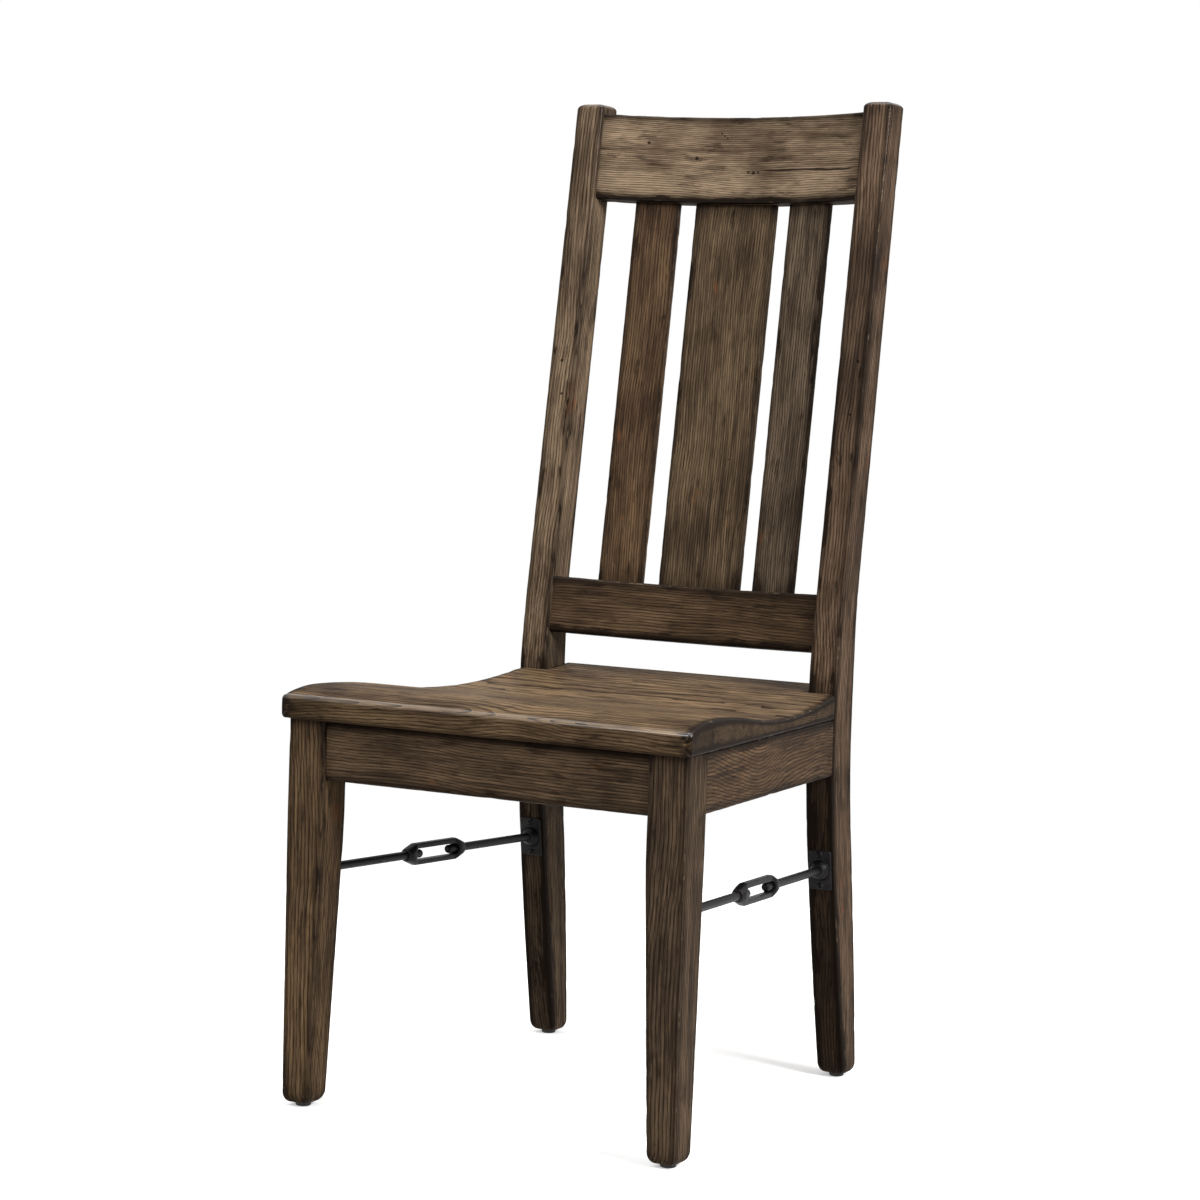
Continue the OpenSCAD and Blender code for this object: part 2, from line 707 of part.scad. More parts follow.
// Foot glides: a plastic disc with a nail
module front_foot() {
    translate([front_w / 2 - (leg_w - taper_in(glide_h)) / 2, leg_d / 2, glide_h]) children();
}
module rear_foot() {
    translate([rear_w / 2 - post_w / 2 + post_out(glide_h), post_y(glide_h), glide_h]) children();
}
module nail(grow = 0) {
    translate([0, 0, -past]) cylinder(h = nail_l + past + grow, d = nail_d + 2 * grow);
}
module foot_glide() {
    rim = 1.2;
    rotate_extrude() polygon([[0, -glide_h], [glide_d / 2 - rim, -glide_h], [glide_d / 2, rim - glide_h],
        [glide_d / 2, 0], [0, 0]]);
    nail();
}
module foot_glide_front_left() { color(glide_black) stand() on_side(left) front_foot() foot_glide(); }
module foot_glide_front_right() { color(glide_black) stand() on_side(right) front_foot() foot_glide(); }
module foot_glide_rear_left() { color(glide_black) stand() on_side(left) rear_foot() foot_glide(); }
module foot_glide_rear_right() { color(glide_black) stand() on_side(right) rear_foot() foot_glide(); }

// Iron plates with their domed sockets
module plate_screw_places() {
    for (end = [-1, 1]) translate([0, end * screw_pitch / 2, 0]) children();
}
module plate_screw_shanks(grow = 0) {
    plate_screw_places() translate([0, 0, plate_t - plate_screw_l])
        cylinder(h = plate_screw_l + past, d = plate_screw_d + 2 * grow);
}
module plate_body() {
    translate([-plate_w / 2, -plate_h / 2, 0]) linear_extrude(plate_t)
        eased_rect(plate_w, plate_h, plate_edge_r);
    intersection() {
        sphere(boss_r);
        translate([-boss_r, -boss_r, 0]) cube([2 * boss_r, 2 * boss_r, boss_r]);
    }
}
module front_plate(side) {
    color(iron) stand() on_side(side) difference() {
        front_plate_frame() plate_body();
        front_plate_frame() plate_screw_shanks(screw_gap);
        along_rod() translate([0, 0, socket_from]) cylinder(h = boss_r, d = rod_d + 2 * rod_gap);
    }
}
module rear_plate(side) {
    color(iron) stand() on_side(side) difference() {
        rear_plate_frame() plate_body();
        rear_plate_frame() plate_screw_shanks(screw_gap);
        along_rod() translate([0, 0, rod_span - socket_from - boss_r])
            cylinder(h = boss_r, d = rod_d + 2 * rod_gap);
    }
}
module stretcher_plate_front_left() { front_plate(left); }
module stretcher_plate_front_right() { front_plate(right); }
module stretcher_plate_rear_left() { rear_plate(left); }
module stretcher_plate_rear_right() { rear_plate(right); }

// Round-headed screws of the plates
module plate_screw_set() {
    head_r = (pow(plate_head_d / 2, 2) + pow(plate_head_h, 2)) / (2 * plate_head_h);
    plate_screw_places() {
        translate([0, 0, plate_t - plate_screw_l]) cylinder(h = plate_screw_l, d = plate_screw_d);
        intersection() {
            translate([0, 0, plate_t + plate_head_h - head_r]) sphere(head_r);
            translate([0, 0, plate_t]) cylinder(h = plate_head_h + past, d = plate_head_d + past);
        }
    }
}
module plate_screws() {
    color(iron) stand() for (side = [left, right]) on_side(side) {
        front_plate_frame() plate_screw_set();
        rear_plate_frame() plate_screw_set();
    }
}

// Rods, with a rounded tip inside the turnbuckle's window
module rod() {
    rotate_extrude() {
        square([rod_d / 2, rod_l - rod_tip_r]);
        square([rod_d / 2 - rod_tip_r, rod_l]);
        translate([rod_d / 2 - rod_tip_r, rod_l - rod_tip_r]) intersection() {
            circle(rod_tip_r);
            square(rod_tip_r);
        }
    }
}
module front_rod(side) {
    color(iron) stand() on_side(side) along_rod() translate([0, 0, socket_from + end_gap]) rod();
}
module rear_rod(side) {
    color(iron) stand() on_side(side) along_rod()
        translate([0, 0, rod_span - socket_from - end_gap]) rotate([180, 0, 0]) rod();
}
module stretcher_rod_front_left() { front_rod(left); }
module stretcher_rod_front_right() { front_rod(right); }
module stretcher_rod_rear_left() { rear_rod(left); }
module stretcher_rod_rear_right() { rear_rod(right); }

// Turnbuckle bodies: a turned outline, flattened to two bars with a hub at each end
module buckle_outline() {
    half = buckle_l / 2;
    tip_edge = 1;
    polygon([[0, -half], [tip_d / 2 - tip_edge, -half], [tip_d / 2, tip_edge - half],
        [buckle_h / 2, buckle_taper - half], [buckle_h / 2, half - buckle_taper],
        [tip_d / 2, half - tip_edge], [tip_d / 2 - tip_edge, half], [0, half]]);
}
module buckle_waist() {
    waist_from = window_l / 2 - 4;
    waist_to = window_l / 2 + 2;
    edge = buckle_l / 2 + past;
    polygon([[-edge, -hub_w / 2], [-waist_to, -hub_w / 2], [-waist_from, -bar_w / 2],
        [waist_from, -bar_w / 2], [waist_to, -hub_w / 2], [edge, -hub_w / 2],
        [edge, hub_w / 2], [waist_to, hub_w / 2], [waist_from, bar_w / 2],
        [-waist_from, bar_w / 2], [-waist_to, hub_w / 2], [-edge, hub_w / 2]]);
}
module turnbuckle(side) {
    window_r = window_h / 2 - past;
    color(iron) stand() on_side(side) along_rod() translate([0, 0, rod_span / 2]) difference() {
        intersection() {
            rotate_extrude() buckle_outline();
            translate([-buckle_h, 0, 0]) rotate([90, 0, 90]) linear_extrude(2 * buckle_h)
                rotate(90) buckle_waist();
        }
        translate([-window_h / 2, hub_w, -window_l / 2]) rotate([90, 0, 0]) linear_extrude(2 * hub_w)
            eased_rect(window_h, window_l, window_r);
        translate([0, 0, -buckle_l]) cylinder(h = 2 * buckle_l, d = rod_d + 2 * rod_gap);
    }
}
module turnbuckle_left() { turnbuckle(left); }
module turnbuckle_right() { turnbuckle(right); }

seat();
front_leg_left();
front_leg_right();
rear_post_left();
rear_post_right();
front_apron();
rear_apron();
side_apron_left();
side_apron_right();
crest_rail();
lower_back_rail();
centre_slat();
side_slat_left();
side_slat_right();
corner_block_front_left();
corner_block_front_right();
corner_block_rear_left();
corner_block_rear_right();
corner_block_screws();
seat_screws();
foot_glide_front_left();
foot_glide_front_right();
foot_glide_rear_left();
foot_glide_rear_right();
stretcher_plate_front_left();
stretcher_plate_front_right();
stretcher_plate_rear_left();
stretcher_plate_rear_right();
plate_screws();
stretcher_rod_front_left();
stretcher_rod_front_right();
stretcher_rod_rear_left();
stretcher_rod_rear_right();
turnbuckle_left();
turnbuckle_right();
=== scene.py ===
import math
from typing import NamedTuple

import bmesh
import bpy
import numpy as np
from mathutils import Matrix, Vector, noise


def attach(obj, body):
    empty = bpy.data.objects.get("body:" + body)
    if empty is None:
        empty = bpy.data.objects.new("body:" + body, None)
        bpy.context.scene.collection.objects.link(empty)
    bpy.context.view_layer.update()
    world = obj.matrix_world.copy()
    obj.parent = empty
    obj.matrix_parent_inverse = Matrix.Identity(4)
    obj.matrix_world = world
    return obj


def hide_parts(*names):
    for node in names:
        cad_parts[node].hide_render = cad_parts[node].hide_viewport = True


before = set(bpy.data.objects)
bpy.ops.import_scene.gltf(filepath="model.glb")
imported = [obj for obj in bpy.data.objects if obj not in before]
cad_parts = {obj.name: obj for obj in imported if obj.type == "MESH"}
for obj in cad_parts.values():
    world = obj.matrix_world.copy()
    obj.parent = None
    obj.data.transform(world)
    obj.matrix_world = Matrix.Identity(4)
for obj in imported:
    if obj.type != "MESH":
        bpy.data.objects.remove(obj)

bl_info = {
    "name": "Slat back dining chair",
    "version": (1, 0, 0),
    "blender": (4, 5, 0),
    "location": "3D View > Sidebar > Chair",
    "description": "Builds the looks of a slat back dining chair round its CAD frame",
    "category": "Object",
}

LEFT, RIGHT = -1, 1
SIDES = ((LEFT, "left"), (RIGHT, "right"))
FRAME_BODY = "chair_frame"
MM = 0.001


def linear(level):
    """A display level from 0 to 255 as linear light."""
    share = level / 255
    return share / 12.92 if share <= 0.04045 else ((share + 0.055) / 1.055) ** 2.4


def length(name, description, default):
    return bpy.props.FloatProperty(
        name=name, description=description, default=default, unit="LENGTH", precision=5)


def angle(name, description, degrees):
    return bpy.props.FloatProperty(
        name=name, description=description, default=math.radians(degrees), subtype="ANGLE")


def number(name, description, default):
    return bpy.props.FloatProperty(name=name, description=description, default=default, precision=4)


def colour(name, description, levels):
    return bpy.props.FloatVectorProperty(
        name=name, description=description, default=[linear(c) for c in levels],
        subtype="COLOR", size=3, min=0, max=1)


class ChairSizes(bpy.types.PropertyGroup):
    """Sizes of the chair, the same as in its CAD source but for its worn and rounded ends."""
    total_h: length("Height", "Height of the post tops", 1.121)
    seat_under: length("Seat underside", "Height of the seat's underside", 0.422)
    front_w: length("Front width", "Width over the front legs", 0.4785)
    rear_w: length("Rear width", "Width over the rear posts at the seat", 0.411)
    arris_r: length("Arris radius", "Radius of the long edges of legs and posts", 0.003)
    seat_t: length("Seat thickness", "Thickness of the seat at its crest", 0.034)
    scoop_depth: length("Scoop depth", "How far the scoop lies below the crest", 0.0175)
    seat_over_front: length("Overhang, front", "How far the seat stands out in front", 0.0085)
    seat_over_side: length("Overhang, side", "How far it stands out beside the legs", 0.0055)
    seat_over_rear: length("Overhang, rear", "How far it stands out behind the posts", 0.0065)
    crest_run: length("Crest run", "From the front edge back to the crest", 0.056)
    scoop_run: length("Scoop run", "From the front edge back to the lowest line", 0.293)
    roll_run: length("Roll run", "From the rear edge forward to the roll-off", 0.080)
    nose_r: length("Nose radius", "Radius of the rolled front nose", 0.167)
    edge_r: length("Edge radius", "Radius of the seat's front edge", 0.005)
    corner_r: length("Corner radius", "Radius of the seat's front corners in plan", 0.004)
    leg_w: length("Leg width", "Width of a front leg at the seat", 0.0455)
    leg_d: length("Leg depth", "Depth of a front leg at the seat", 0.046)
    leg_taper: length("Leg taper", "Taper of the inner face at the floor", 0.0115)
    leg_taper_fr: length("Leg taper, front", "Taper of front and rear face at the floor", 0.005)
    taper_top: length("Taper top", "Height where the taper starts", 0.305)
    taper_ease: length("Taper ease", "Height over which the taper's start is eased", 0.050)
    post_w: length("Post width", "Width of a rear post", 0.035)
    post_d: length("Post depth", "Depth of a rear post at the seat", 0.0505)
    post_d_foot: length("Post depth, foot", "Depth of a rear post at the floor", 0.032)
    post_d_back: length("Post depth, back", "Depth of a rear post above the lower rail", 0.0415)
    post_d_top: length("Post depth, top", "Depth of a rear post at its top", 0.0385)
    post_set: length("Post set", "From the legs' front back to the posts' middle", 0.4555)
    rake: angle("Rake", "Angle at which the back leans", 7.7)
    foot_sweep: angle("Foot sweep", "Angle at which the posts' feet sweep backward", 8.8)
    bend_r: length("Bend radius", "Radius of the bend between the two", 1.1)
    bend_up: length("Bend height", "Bend's middle above the seat's underside", 0.014)
    post_lean: length("Post lean", "How much a post leans inward up to its top", 0.002)
    post_splay: length("Post splay", "How much a post splays down to the floor", 0.004)
    dome_h: length("Dome height", "Height of the domed post tops", 0.0065)
    dome_run: length("Dome run", "Width of the dome's rounded rim", 0.009)
    foot_in: length("Foot inset", "How far the legs' lower ends draw in", 0.0065)
    foot_up: length("Foot rise", "Height over which they are rounded", 0.012)
    foot_ease_z: length("Foot ease", "Height below which the posts slim to the foot", 0.270)
    slim_from: length("Slim start", "Where the posts start to slim above the seat", 0.015)
    slim_run: length("Slim run", "Height over which the posts slim", 0.150)
    crest_drop: length("Crest drop", "Crest rail's top below the post tops", 0.0125)
    crest_h: length("Crest height", "Height of the crest rail", 0.102)
    crest_t: length("Crest thickness", "Thickness of the crest rail", 0.026)
    crest_set: length("Crest set", "Crest rail's front before the posts' middle", 0.0138)
    rail_gap: length("Rail gap", "Gap between the seat and the lower rail", 0.038)
    rail_h: length("Rail height", "Height of the lower rail", 0.066)
    rail_t: length("Rail thickness", "Thickness of the lower rail", 0.025)
    rail_set: length("Rail set", "Lower rail's front before the posts' middle", 0.0175)
    rail_edge_r: length("Rail edge radius", "Radius of the rails' edges", 0.0035)
    bow_r: length("Bow radius", "Radius of the rails' backward bow", 0.590)
    slat_w: length("Slat width", "Width of the centre slat", 0.1045)
    side_slat_w: length("Side slat width", "Width of a side slat", 0.0555)
    side_slat_x: length("Side slat distance", "From the middle to a side slat's middle", 0.0985)
    slat_t: length("Slat thickness", "Thickness of the slats", 0.010)
    slat_set: length("Slat set", "Slats' front behind the lower rail's front", 0.013)
    slat_edge_r: length("Slat edge radius", "Radius of the slats' edges", 0.002)
    apron_h: length("Apron height", "Height of the aprons", 0.064)
    apron_t: length("Apron thickness", "Thickness of the aprons", 0.020)
    apron_set: length("Apron set", "How far front and rear apron stand back", 0.0045)
    side_apron_set: length("Side apron set", "How far the side aprons stand back", 0.0015)
    apron_edge_r: length("Apron edge radius", "Radius of the aprons' edges", 0.0025)
    rod_d: length("Rod diameter", "Diameter of the stretcher rods", 0.009525)
    rod_front_z: length("Rod height, front", "Height of the rods at the front legs", 0.257)
    rod_rear_z: length("Rod height, rear", "Height of the rods at the rear posts", 0.2485)
    plate_w: length("Plate width", "Width of the iron plates", 0.027)
    plate_h: length("Plate height", "Height of the iron plates", 0.046)
    plate_t: length("Plate thickness", "Thickness of the iron plates", 0.003)
    boss_r: length("Boss radius", "Radius of the domed socket on a plate", 0.012)
    socket_depth: length("Socket depth", "Depth of the socket that holds a rod", 0.0065)
    screw_pitch: length("Screw pitch", "Distance between a plate's two screws", 0.0376)
    screw_head_d: length("Screw head", "Diameter of the plate screws' heads", 0.0084)
    screw_head_h: length("Screw head height", "Height of the plate screws' heads", 0.0023)
    buckle_l: length("Turnbuckle length", "Length of a turnbuckle body", 0.110)
    buckle_h: length("Turnbuckle height", "Height over its two bars", 0.0248)
    bar_w: length("Bar width", "Width of a bar across the window", 0.009)
    hub_w: length("Hub width", "Width of the hubs", 0.016)
    tip_d: length("Tip diameter", "Diameter of the hubs' tips", 0.013)
    buckle_taper: length("Turnbuckle taper", "Length of the tapered ends", 0.016)
    window_l: length("Window length", "Length of the window", 0.083)
    window_h: length("Window height", "Height of the window", 0.013)
    rod_in: length("Rod reach", "How far a rod stands into the window", 0.016)
    glide_h: length("Glide height", "Height of the foot glides", 0.0045)
    glide_d: length("Glide diameter", "Diameter of the foot glides", 0.017)
    seat_gap: length("Seat gap", "Gap between seat and rear posts", 0.0003)
    rod_gap: length("Rod gap", "Radial gap round a rod", 0.00005)
    end_gap: length("End gap", "Gap between a rod's end and its socket", 0.0003)
    step: length("Step", "Distance between the rings of a wooden piece", 0.005)
    wear: length("Wear", "How deep use has worn the arrises", 0.0005)


class OakLook(bpy.types.PropertyGroup):
    """Colours and figure that all boards of stained oak share."""
    pore: colour("Pore", "Colour in the open grain", (27, 18, 12))
    # the glaze colour also paints the shade under the seat on legs, posts and aprons
    glaze: colour("Glaze", "Dark glaze along arrises and in corners", (27, 19, 13))
    # the worn colour lightens the arrises both as bare wood and as a painted highlight
    worn: colour("Worn", "Bare wood on worn arrises", (150, 128, 104))
    spot: colour("Spot", "Orange spots under the stain", (124, 76, 44))
    ring: number("Ring width", "Width of a growth ring in millimetres", 2.8)
    line: number("Line strength", "Strength of the growth lines", 0.9)
    pores: number("Pore strength", "Strength of the open pores", 0.9)
    roughness: number("Roughness", "Roughness of the lacquer", 0.58)
    specular: number("Sheen", "Specular level of the flat faces", 0.04)
    coat_roughness: number("Edge sheen", "Roughness of the polish on the arrises", 0.18)
    bump: number("Bump", "Strength of the relief", 0.8)


class IronLook(bpy.types.PropertyGroup):
    """Colours of the blackened iron, the glides and the hidden pieces."""
    dark: colour("Dark", "Iron in its hollows", (10, 9, 9))
    light: colour("Light", "Iron on its open faces", (22, 20, 20))
    # rubbed lightens the edges both as worn iron and as a painted highlight
    rubbed: colour("Rubbed", "Iron on its edges", (52, 49, 50))
    metallic: number("Metallic", "How much of the blackened iron shows as metal", 0.15)
    specular: number("Sheen", "Specular level of the blackened iron", 0.16)
    glide: colour("Glide", "Plastic of the glides", (24, 23, 23))
    steel: colour("Steel", "Zinc of the hidden screws", (150, 148, 142))
    block_light: colour("Block light", "Pale wood of the corner blocks", (168, 138, 100))
    block_dark: colour("Block dark", "Darker wood of the corner blocks", (128, 99, 68))


class StageLook(bpy.types.PropertyGroup):
    """Camera, floor and light."""
    camera_at: bpy.props.FloatVectorProperty(
        name="Camera", description="Place of the camera", default=(1.58772, -2.97901, 0.78952),
        subtype="TRANSLATION")
    yaw: angle("Yaw", "Turn of the camera to the left", 27.2)
    pitch: angle("Pitch", "How far the camera looks down", 4.759)
    roll: angle("Roll", "Roll of the camera", 2.202)
    focal: number("Focal length", "Focal length in pixels of the photograph", 3049.0)
    photo_w: number("Photograph width", "Width of the photograph in pixels", 1200.0)
    shift: bpy.props.FloatVectorProperty(
        name="Shift", description="Camera shift", default=(-0.05, 0.0333), size=2)
    floor: colour("Floor", "Colour of the floor", (246, 246, 246))
    floor_bounce: colour("Floor bounce", "Colour that the floor throws back", (150, 146, 142))
    floor_lift: number("Floor lift", "Light added to the floor that the camera sees", 0.42)
    sky: colour("Sky", "Grey of the surrounding light", (134, 132, 130))
    sky_level: number("Sky level", "Strength of the surrounding light", 1.15)
    key: number("Key", "Power of the key light in watts", 136.0)
    fill: number("Fill", "Power of the fill light in watts", 74.0)
    top: number("Top", "Power of the top light in watts", 58.0)


class Board(NamedTuple):
    """What tells one board from another. Lengths are millimetres of the board's grain attribute."""
    light: tuple  # display levels of its lighter and darker stain
    dark: tuple
    seed: float  # moves the figure along the noise
    pith: tuple = (-110.0, 110.0)  # the tree's middle, across the board and behind its face
    tilt: float = 0.0  # how much the grain runs out across the board
    wave: float = 26.0  # how far the pith wanders
    narrow: float = 1.0  # width of its growth rings against the usual
    streaky: float = 1.0  # strength of its streaks of stain against the usual
    marks: tuple = ()  # knocks: along, across, radius
    crack: tuple = ()  # a crack: its two ends along, and its place across


APRON_LIGHT, APRON_DARK = (113, 93, 73), (68, 55, 43)
SIDE_APRON_LIGHT, SIDE_APRON_DARK = (101, 80, 60), (54, 42, 32)

BOARDS = {
    "leg_left": Board((132, 107, 79), (73, 59, 45), 0.65),
    "leg_right": Board((112, 93, 74), (61, 50, 41), 1.35),
    "post_left": Board(
        (140, 119, 96), (71, 58, 46), 3.6, marks=((815.0, -17.0, 2.2), (776.0, -21.0, 1.8))),
    "post_right": Board(
        (114, 93, 75), (57, 45, 36), 4.4, marks=((825.0, -12.0, 2.2), (765.0, -15.0, 1.8))),
    "seat": Board((124, 102, 76), (66, 51, 38), 2.0, pith=(60.0, -40.0), wave=110.0),
    "crest_rail": Board(
        (155, 134, 110), (89, 73, 57), 6.0, pith=(-70.0, 60.0), tilt=0.02, narrow=0.8, streaky=0.4,
        marks=((-112.0, 69.0, 2.2), (-51.0, 52.0, 2.6), (17.0, 36.0, 1.8), (24.0, 35.5, 2.2),
               (30.0, 36.0, 1.6), (-22.0, 82.0, 1.4), (-18.0, 79.0, 1.4), (-14.0, 76.5, 1.2)),
        crack=(34.0, 164.0, 38.0)),
    "lower_back_rail": Board((99, 79, 59), (54, 42, 31), 7.3, pith=(-60.0, 60.0), tilt=0.02),
    "centre_slat": Board((112, 94, 72), (60, 48, 38), 8.1, pith=(-120.0, 60.0)),
    "side_slat_left": Board((104, 82, 60), (56, 42, 32), 9.4, pith=(90.0, 50.0)),
    "side_slat_right": Board((118, 102, 85), (66, 55, 45), 10.2, pith=(-90.0, 50.0)),
    "front_apron": Board(APRON_LIGHT, APRON_DARK, 12.0, pith=(-70.0, 60.0), tilt=0.02),
    "rear_apron": Board(APRON_LIGHT, APRON_DARK, 13.0, pith=(-70.0, 60.0), tilt=0.02),
    "side_apron_left": Board(
        SIDE_APRON_LIGHT, SIDE_APRON_DARK, 13.0, pith=(-30.0, 40.0), tilt=0.03, wave=90.0),
    "side_apron_right": Board(
        SIDE_APRON_LIGHT, SIDE_APRON_DARK, 15.0, pith=(-30.0, 40.0), tilt=0.03, wave=90.0),
}


def clamp01(value):
    return min(max(value, 0.0), 1.0)


def ease(value):
    share = clamp01(value)
    return share * share * (3 - 2 * share)


def band(value, start, full, level=1.0):
    """Nothing at start and level at full, with an even rise between them."""
    return level * clamp01((value - start) / (full - start))


def steps(start, end, step):
    """Even places from start to end, no further apart than step."""
    return list(np.linspace(start, end, max(2, math.ceil(abs(end - start) / step) + 1)))


def quarter(count):
    """Angles of a quarter turn."""
    return np.linspace(0, math.pi / 2, count)


class Shape:
    """Measures and curves that follow from the sizes, worked out as in the CAD source."""

    def __init__(self, s):
        self.s = s
        self.seat_top = s.seat_under + s.seat_t
        self.apron_low = s.seat_under - s.apron_h
        self.bend_z = s.seat_under + s.bend_up
        self.upper_z = self.bend_z + s.bend_r * math.sin(s.rake)
        self.upper_y = s.post_set + s.bend_r * (1 - math.cos(s.rake))
        self.lower_z = self.bend_z - s.bend_r * math.sin(s.foot_sweep)
        self.lower_y = s.post_set + s.bend_r * (1 - math.cos(s.foot_sweep))
        self.post_in = s.rear_w / 2 - s.post_w
        self.bow_back = math.sqrt(s.bow_r ** 2 - self.post_in ** 2)
        self.crest_top = self.along_rake(s.total_h - s.crest_drop)
        self.crest_low = self.crest_top - s.crest_h
        self.rail_low = self.along_rake(self.seat_top + s.rail_gap)
        self.rail_top = self.rail_low + s.rail_h
        crest_back = s.bow_r - self.bow_back - s.crest_set + s.crest_t
        rear_end = (self.upper_y + (crest_back - s.rail_edge_r) * math.cos(s.rake)
                    + (self.crest_top - s.rail_edge_r) * math.sin(s.rake) + s.rail_edge_r)
        self.seat_front = -s.seat_over_front
        self.seat_rear = self.post_rear(s.seat_under) + s.seat_over_rear
        self.middle_y = (self.seat_front + rear_end) / 2
        self.notch_y = self.post_front(self.bend_z) - s.seat_gap
        self.apron_slope = math.atan((s.front_w - s.rear_w) / 2 / self.post_front(self.apron_low))
        self.rear_apron_y = self.post_rear(self.apron_low) - s.apron_set - s.apron_t
        self.rods()

    def rods(self):
        """Where the rods of the right side meet leg and post, and the rods' length."""
        s = self.s
        flat = s.plate_h / 2 + 0.008
        low, high = s.rod_rear_z - flat, s.rod_rear_z + flat
        face_y = (self.post_front(low) + self.post_front(high)) / 2
        self.rear_tilt = math.atan((self.post_front(low) - self.post_front(high)) / (high - low))
        self.front_tilt = math.atan(s.leg_taper_fr / s.taper_top)
        self.rod_front = Vector((
            (s.front_w - s.leg_w + self.taper_in(s.rod_front_z)) / 2,
            s.leg_d - self.taper_fr(s.rod_front_z) - self.middle_y, s.rod_front_z))
        self.rod_rear = Vector((
            s.rear_w / 2 - s.post_w / 2 + self.post_out(s.rod_rear_z),
            face_y - self.middle_y, s.rod_rear_z))
        self.rod_span = (self.rod_rear - self.rod_front).length
        self.socket_from = math.sqrt(s.boss_r ** 2 - (s.rod_d / 2) ** 2) - s.socket_depth
        self.rod_l = (self.rod_span - s.window_l) / 2 + s.rod_in - self.socket_from - s.end_gap

    def along_rake(self, z):
        return (z - self.upper_z) / math.cos(self.s.rake)

    def post_y(self, z):
        """Depth of a post's middle line at a height."""
        s = self.s
        if z > self.upper_z:
            return self.upper_y + (z - self.upper_z) * math.tan(s.rake)
        if z > self.lower_z:
            return s.post_set + s.bend_r - math.sqrt(s.bend_r ** 2 - (z - self.bend_z) ** 2)
        return self.lower_y + (self.lower_z - z) * math.tan(s.foot_sweep)

    def post_depth(self, z):
        s = self.s
        slim = s.seat_under + s.slim_from
        above = (z - slim - s.slim_run) / (s.total_h - slim - s.slim_run)
        return (s.post_d - (s.post_d - s.post_d_foot) * clamp01(1 - z / s.foot_ease_z) ** 2
                - (s.post_d - s.post_d_back) * ease((z - slim) / s.slim_run)
                - (s.post_d_back - s.post_d_top) * clamp01(above))

    def post_front(self, z):
        return self.post_y(z) - self.post_depth(z) / 2

    def post_rear(self, z):
        return self.post_y(z) + self.post_depth(z) / 2

    def post_out(self, z):
        """How far a post stands outward of its place at the seat."""
        s = self.s
        if z > self.seat_top:
            return -s.post_lean * (z - self.seat_top) / (s.total_h - self.seat_top)
        return s.post_splay * (1 - z / self.apron_low) if z < self.apron_low else 0.0

    def taper_in(self, z):
        """Taper of a front leg's inner face at a height."""
        s = self.s
        if z > s.taper_top + s.taper_ease / 2:
            return 0.0
        if z < s.taper_top - s.taper_ease / 2:
            return s.leg_taper * (1 - z / s.taper_top)
        run = s.taper_top + s.taper_ease / 2 - z
        return s.leg_taper / s.taper_top * run ** 2 / (2 * s.taper_ease)

    def taper_fr(self, z):
        return self.taper_in(z) * self.s.leg_taper_fr / self.s.leg_taper

    def raked(self, x, y, z):
        """A point given in the leaning back's own directions."""
        rake = self.s.rake
        return (x, self.upper_y + y * math.cos(rake) + z * math.sin(rake) - self.middle_y,
                self.upper_z - y * math.sin(rake) + z * math.cos(rake))

    def seat_height(self, y):
        """Height of the seat's top at a depth: tangent arcs for edge, nose, crest, scoop and roll-off."""
        s, top = self.s, self.seat_top
        crest_y, low_y = self.seat_front + s.crest_run, self.seat_front + s.scoop_run
        half = (low_y - crest_y) / 2
        scoop_r = (half ** 2 + (s.scoop_depth / 2) ** 2) / s.scoop_depth
        run = s.crest_run - s.edge_r
        nose_z = top - s.nose_r + math.sqrt((s.nose_r - s.edge_r) ** 2 - run ** 2)
        join_y = crest_y - run * s.nose_r / (s.nose_r - s.edge_r)
        roll_y = self.seat_rear - s.roll_run
        if y < join_y:
            return nose_z + math.sqrt(max(s.edge_r ** 2 - (self.seat_front + s.edge_r - y) ** 2, 0))
        if y < crest_y:
            return top - s.nose_r + math.sqrt(s.nose_r ** 2 - (crest_y - y) ** 2)
        if y < crest_y + half:
            return top - scoop_r + math.sqrt(scoop_r ** 2 - (y - crest_y) ** 2)
        scoop_z = top - s.scoop_depth + scoop_r
        if y < roll_y:
            return scoop_z - math.sqrt(scoop_r ** 2 - (y - low_y) ** 2)
        turn = math.asin((roll_y - low_y) / scoop_r)
        centre_y, centre_z = low_y + 2 * scoop_r * math.sin(turn), scoop_z - 2 * scoop_r * math.cos(turn)
        return centre_z + math.sqrt(scoop_r ** 2 - (y - centre_y) ** 2)

    def seat_low(self, y):
        """Height of the seat's underside at a depth."""
        s = self.s
        run = self.seat_front + s.edge_r - y
        drop = s.edge_r - math.sqrt(max(s.edge_r ** 2 - run ** 2, 0)) if run > 0 else 0
        return s.seat_under + drop

    def seat_half(self, y):
        """Half of the seat's width at a depth, in front of the notches for the posts."""
        s = self.s
        front, rear = s.front_w / 2 + s.seat_over_side, s.rear_w / 2
        lean = math.atan((front - rear) / (self.notch_y - self.seat_front))
        centre = front - s.corner_r * (1 - math.sin(lean)) / math.cos(lean)
        run = self.seat_front + s.corner_r - y
        if run > -s.corner_r * math.sin(lean):
            return centre + math.sqrt(max(s.corner_r ** 2 - run ** 2, 0))
        return front + (rear - front) * (y - self.seat_front) / (self.notch_y - self.seat_front)


def measured(context):
    """The chair's sizes, called s from here on, and the shape that follows from them, called c."""
    sizes = context.scene.chair_sizes
    return sizes, Shape(sizes)


SEAM,SEAM_SHARE = 0.003, 0.12  # from an arris to the first points of a face, and that as a share of it
OUTER, INNER = (1.0, 0.45), (2.5, 0.12)  # seams from the arris, and nearness to it, of the first points


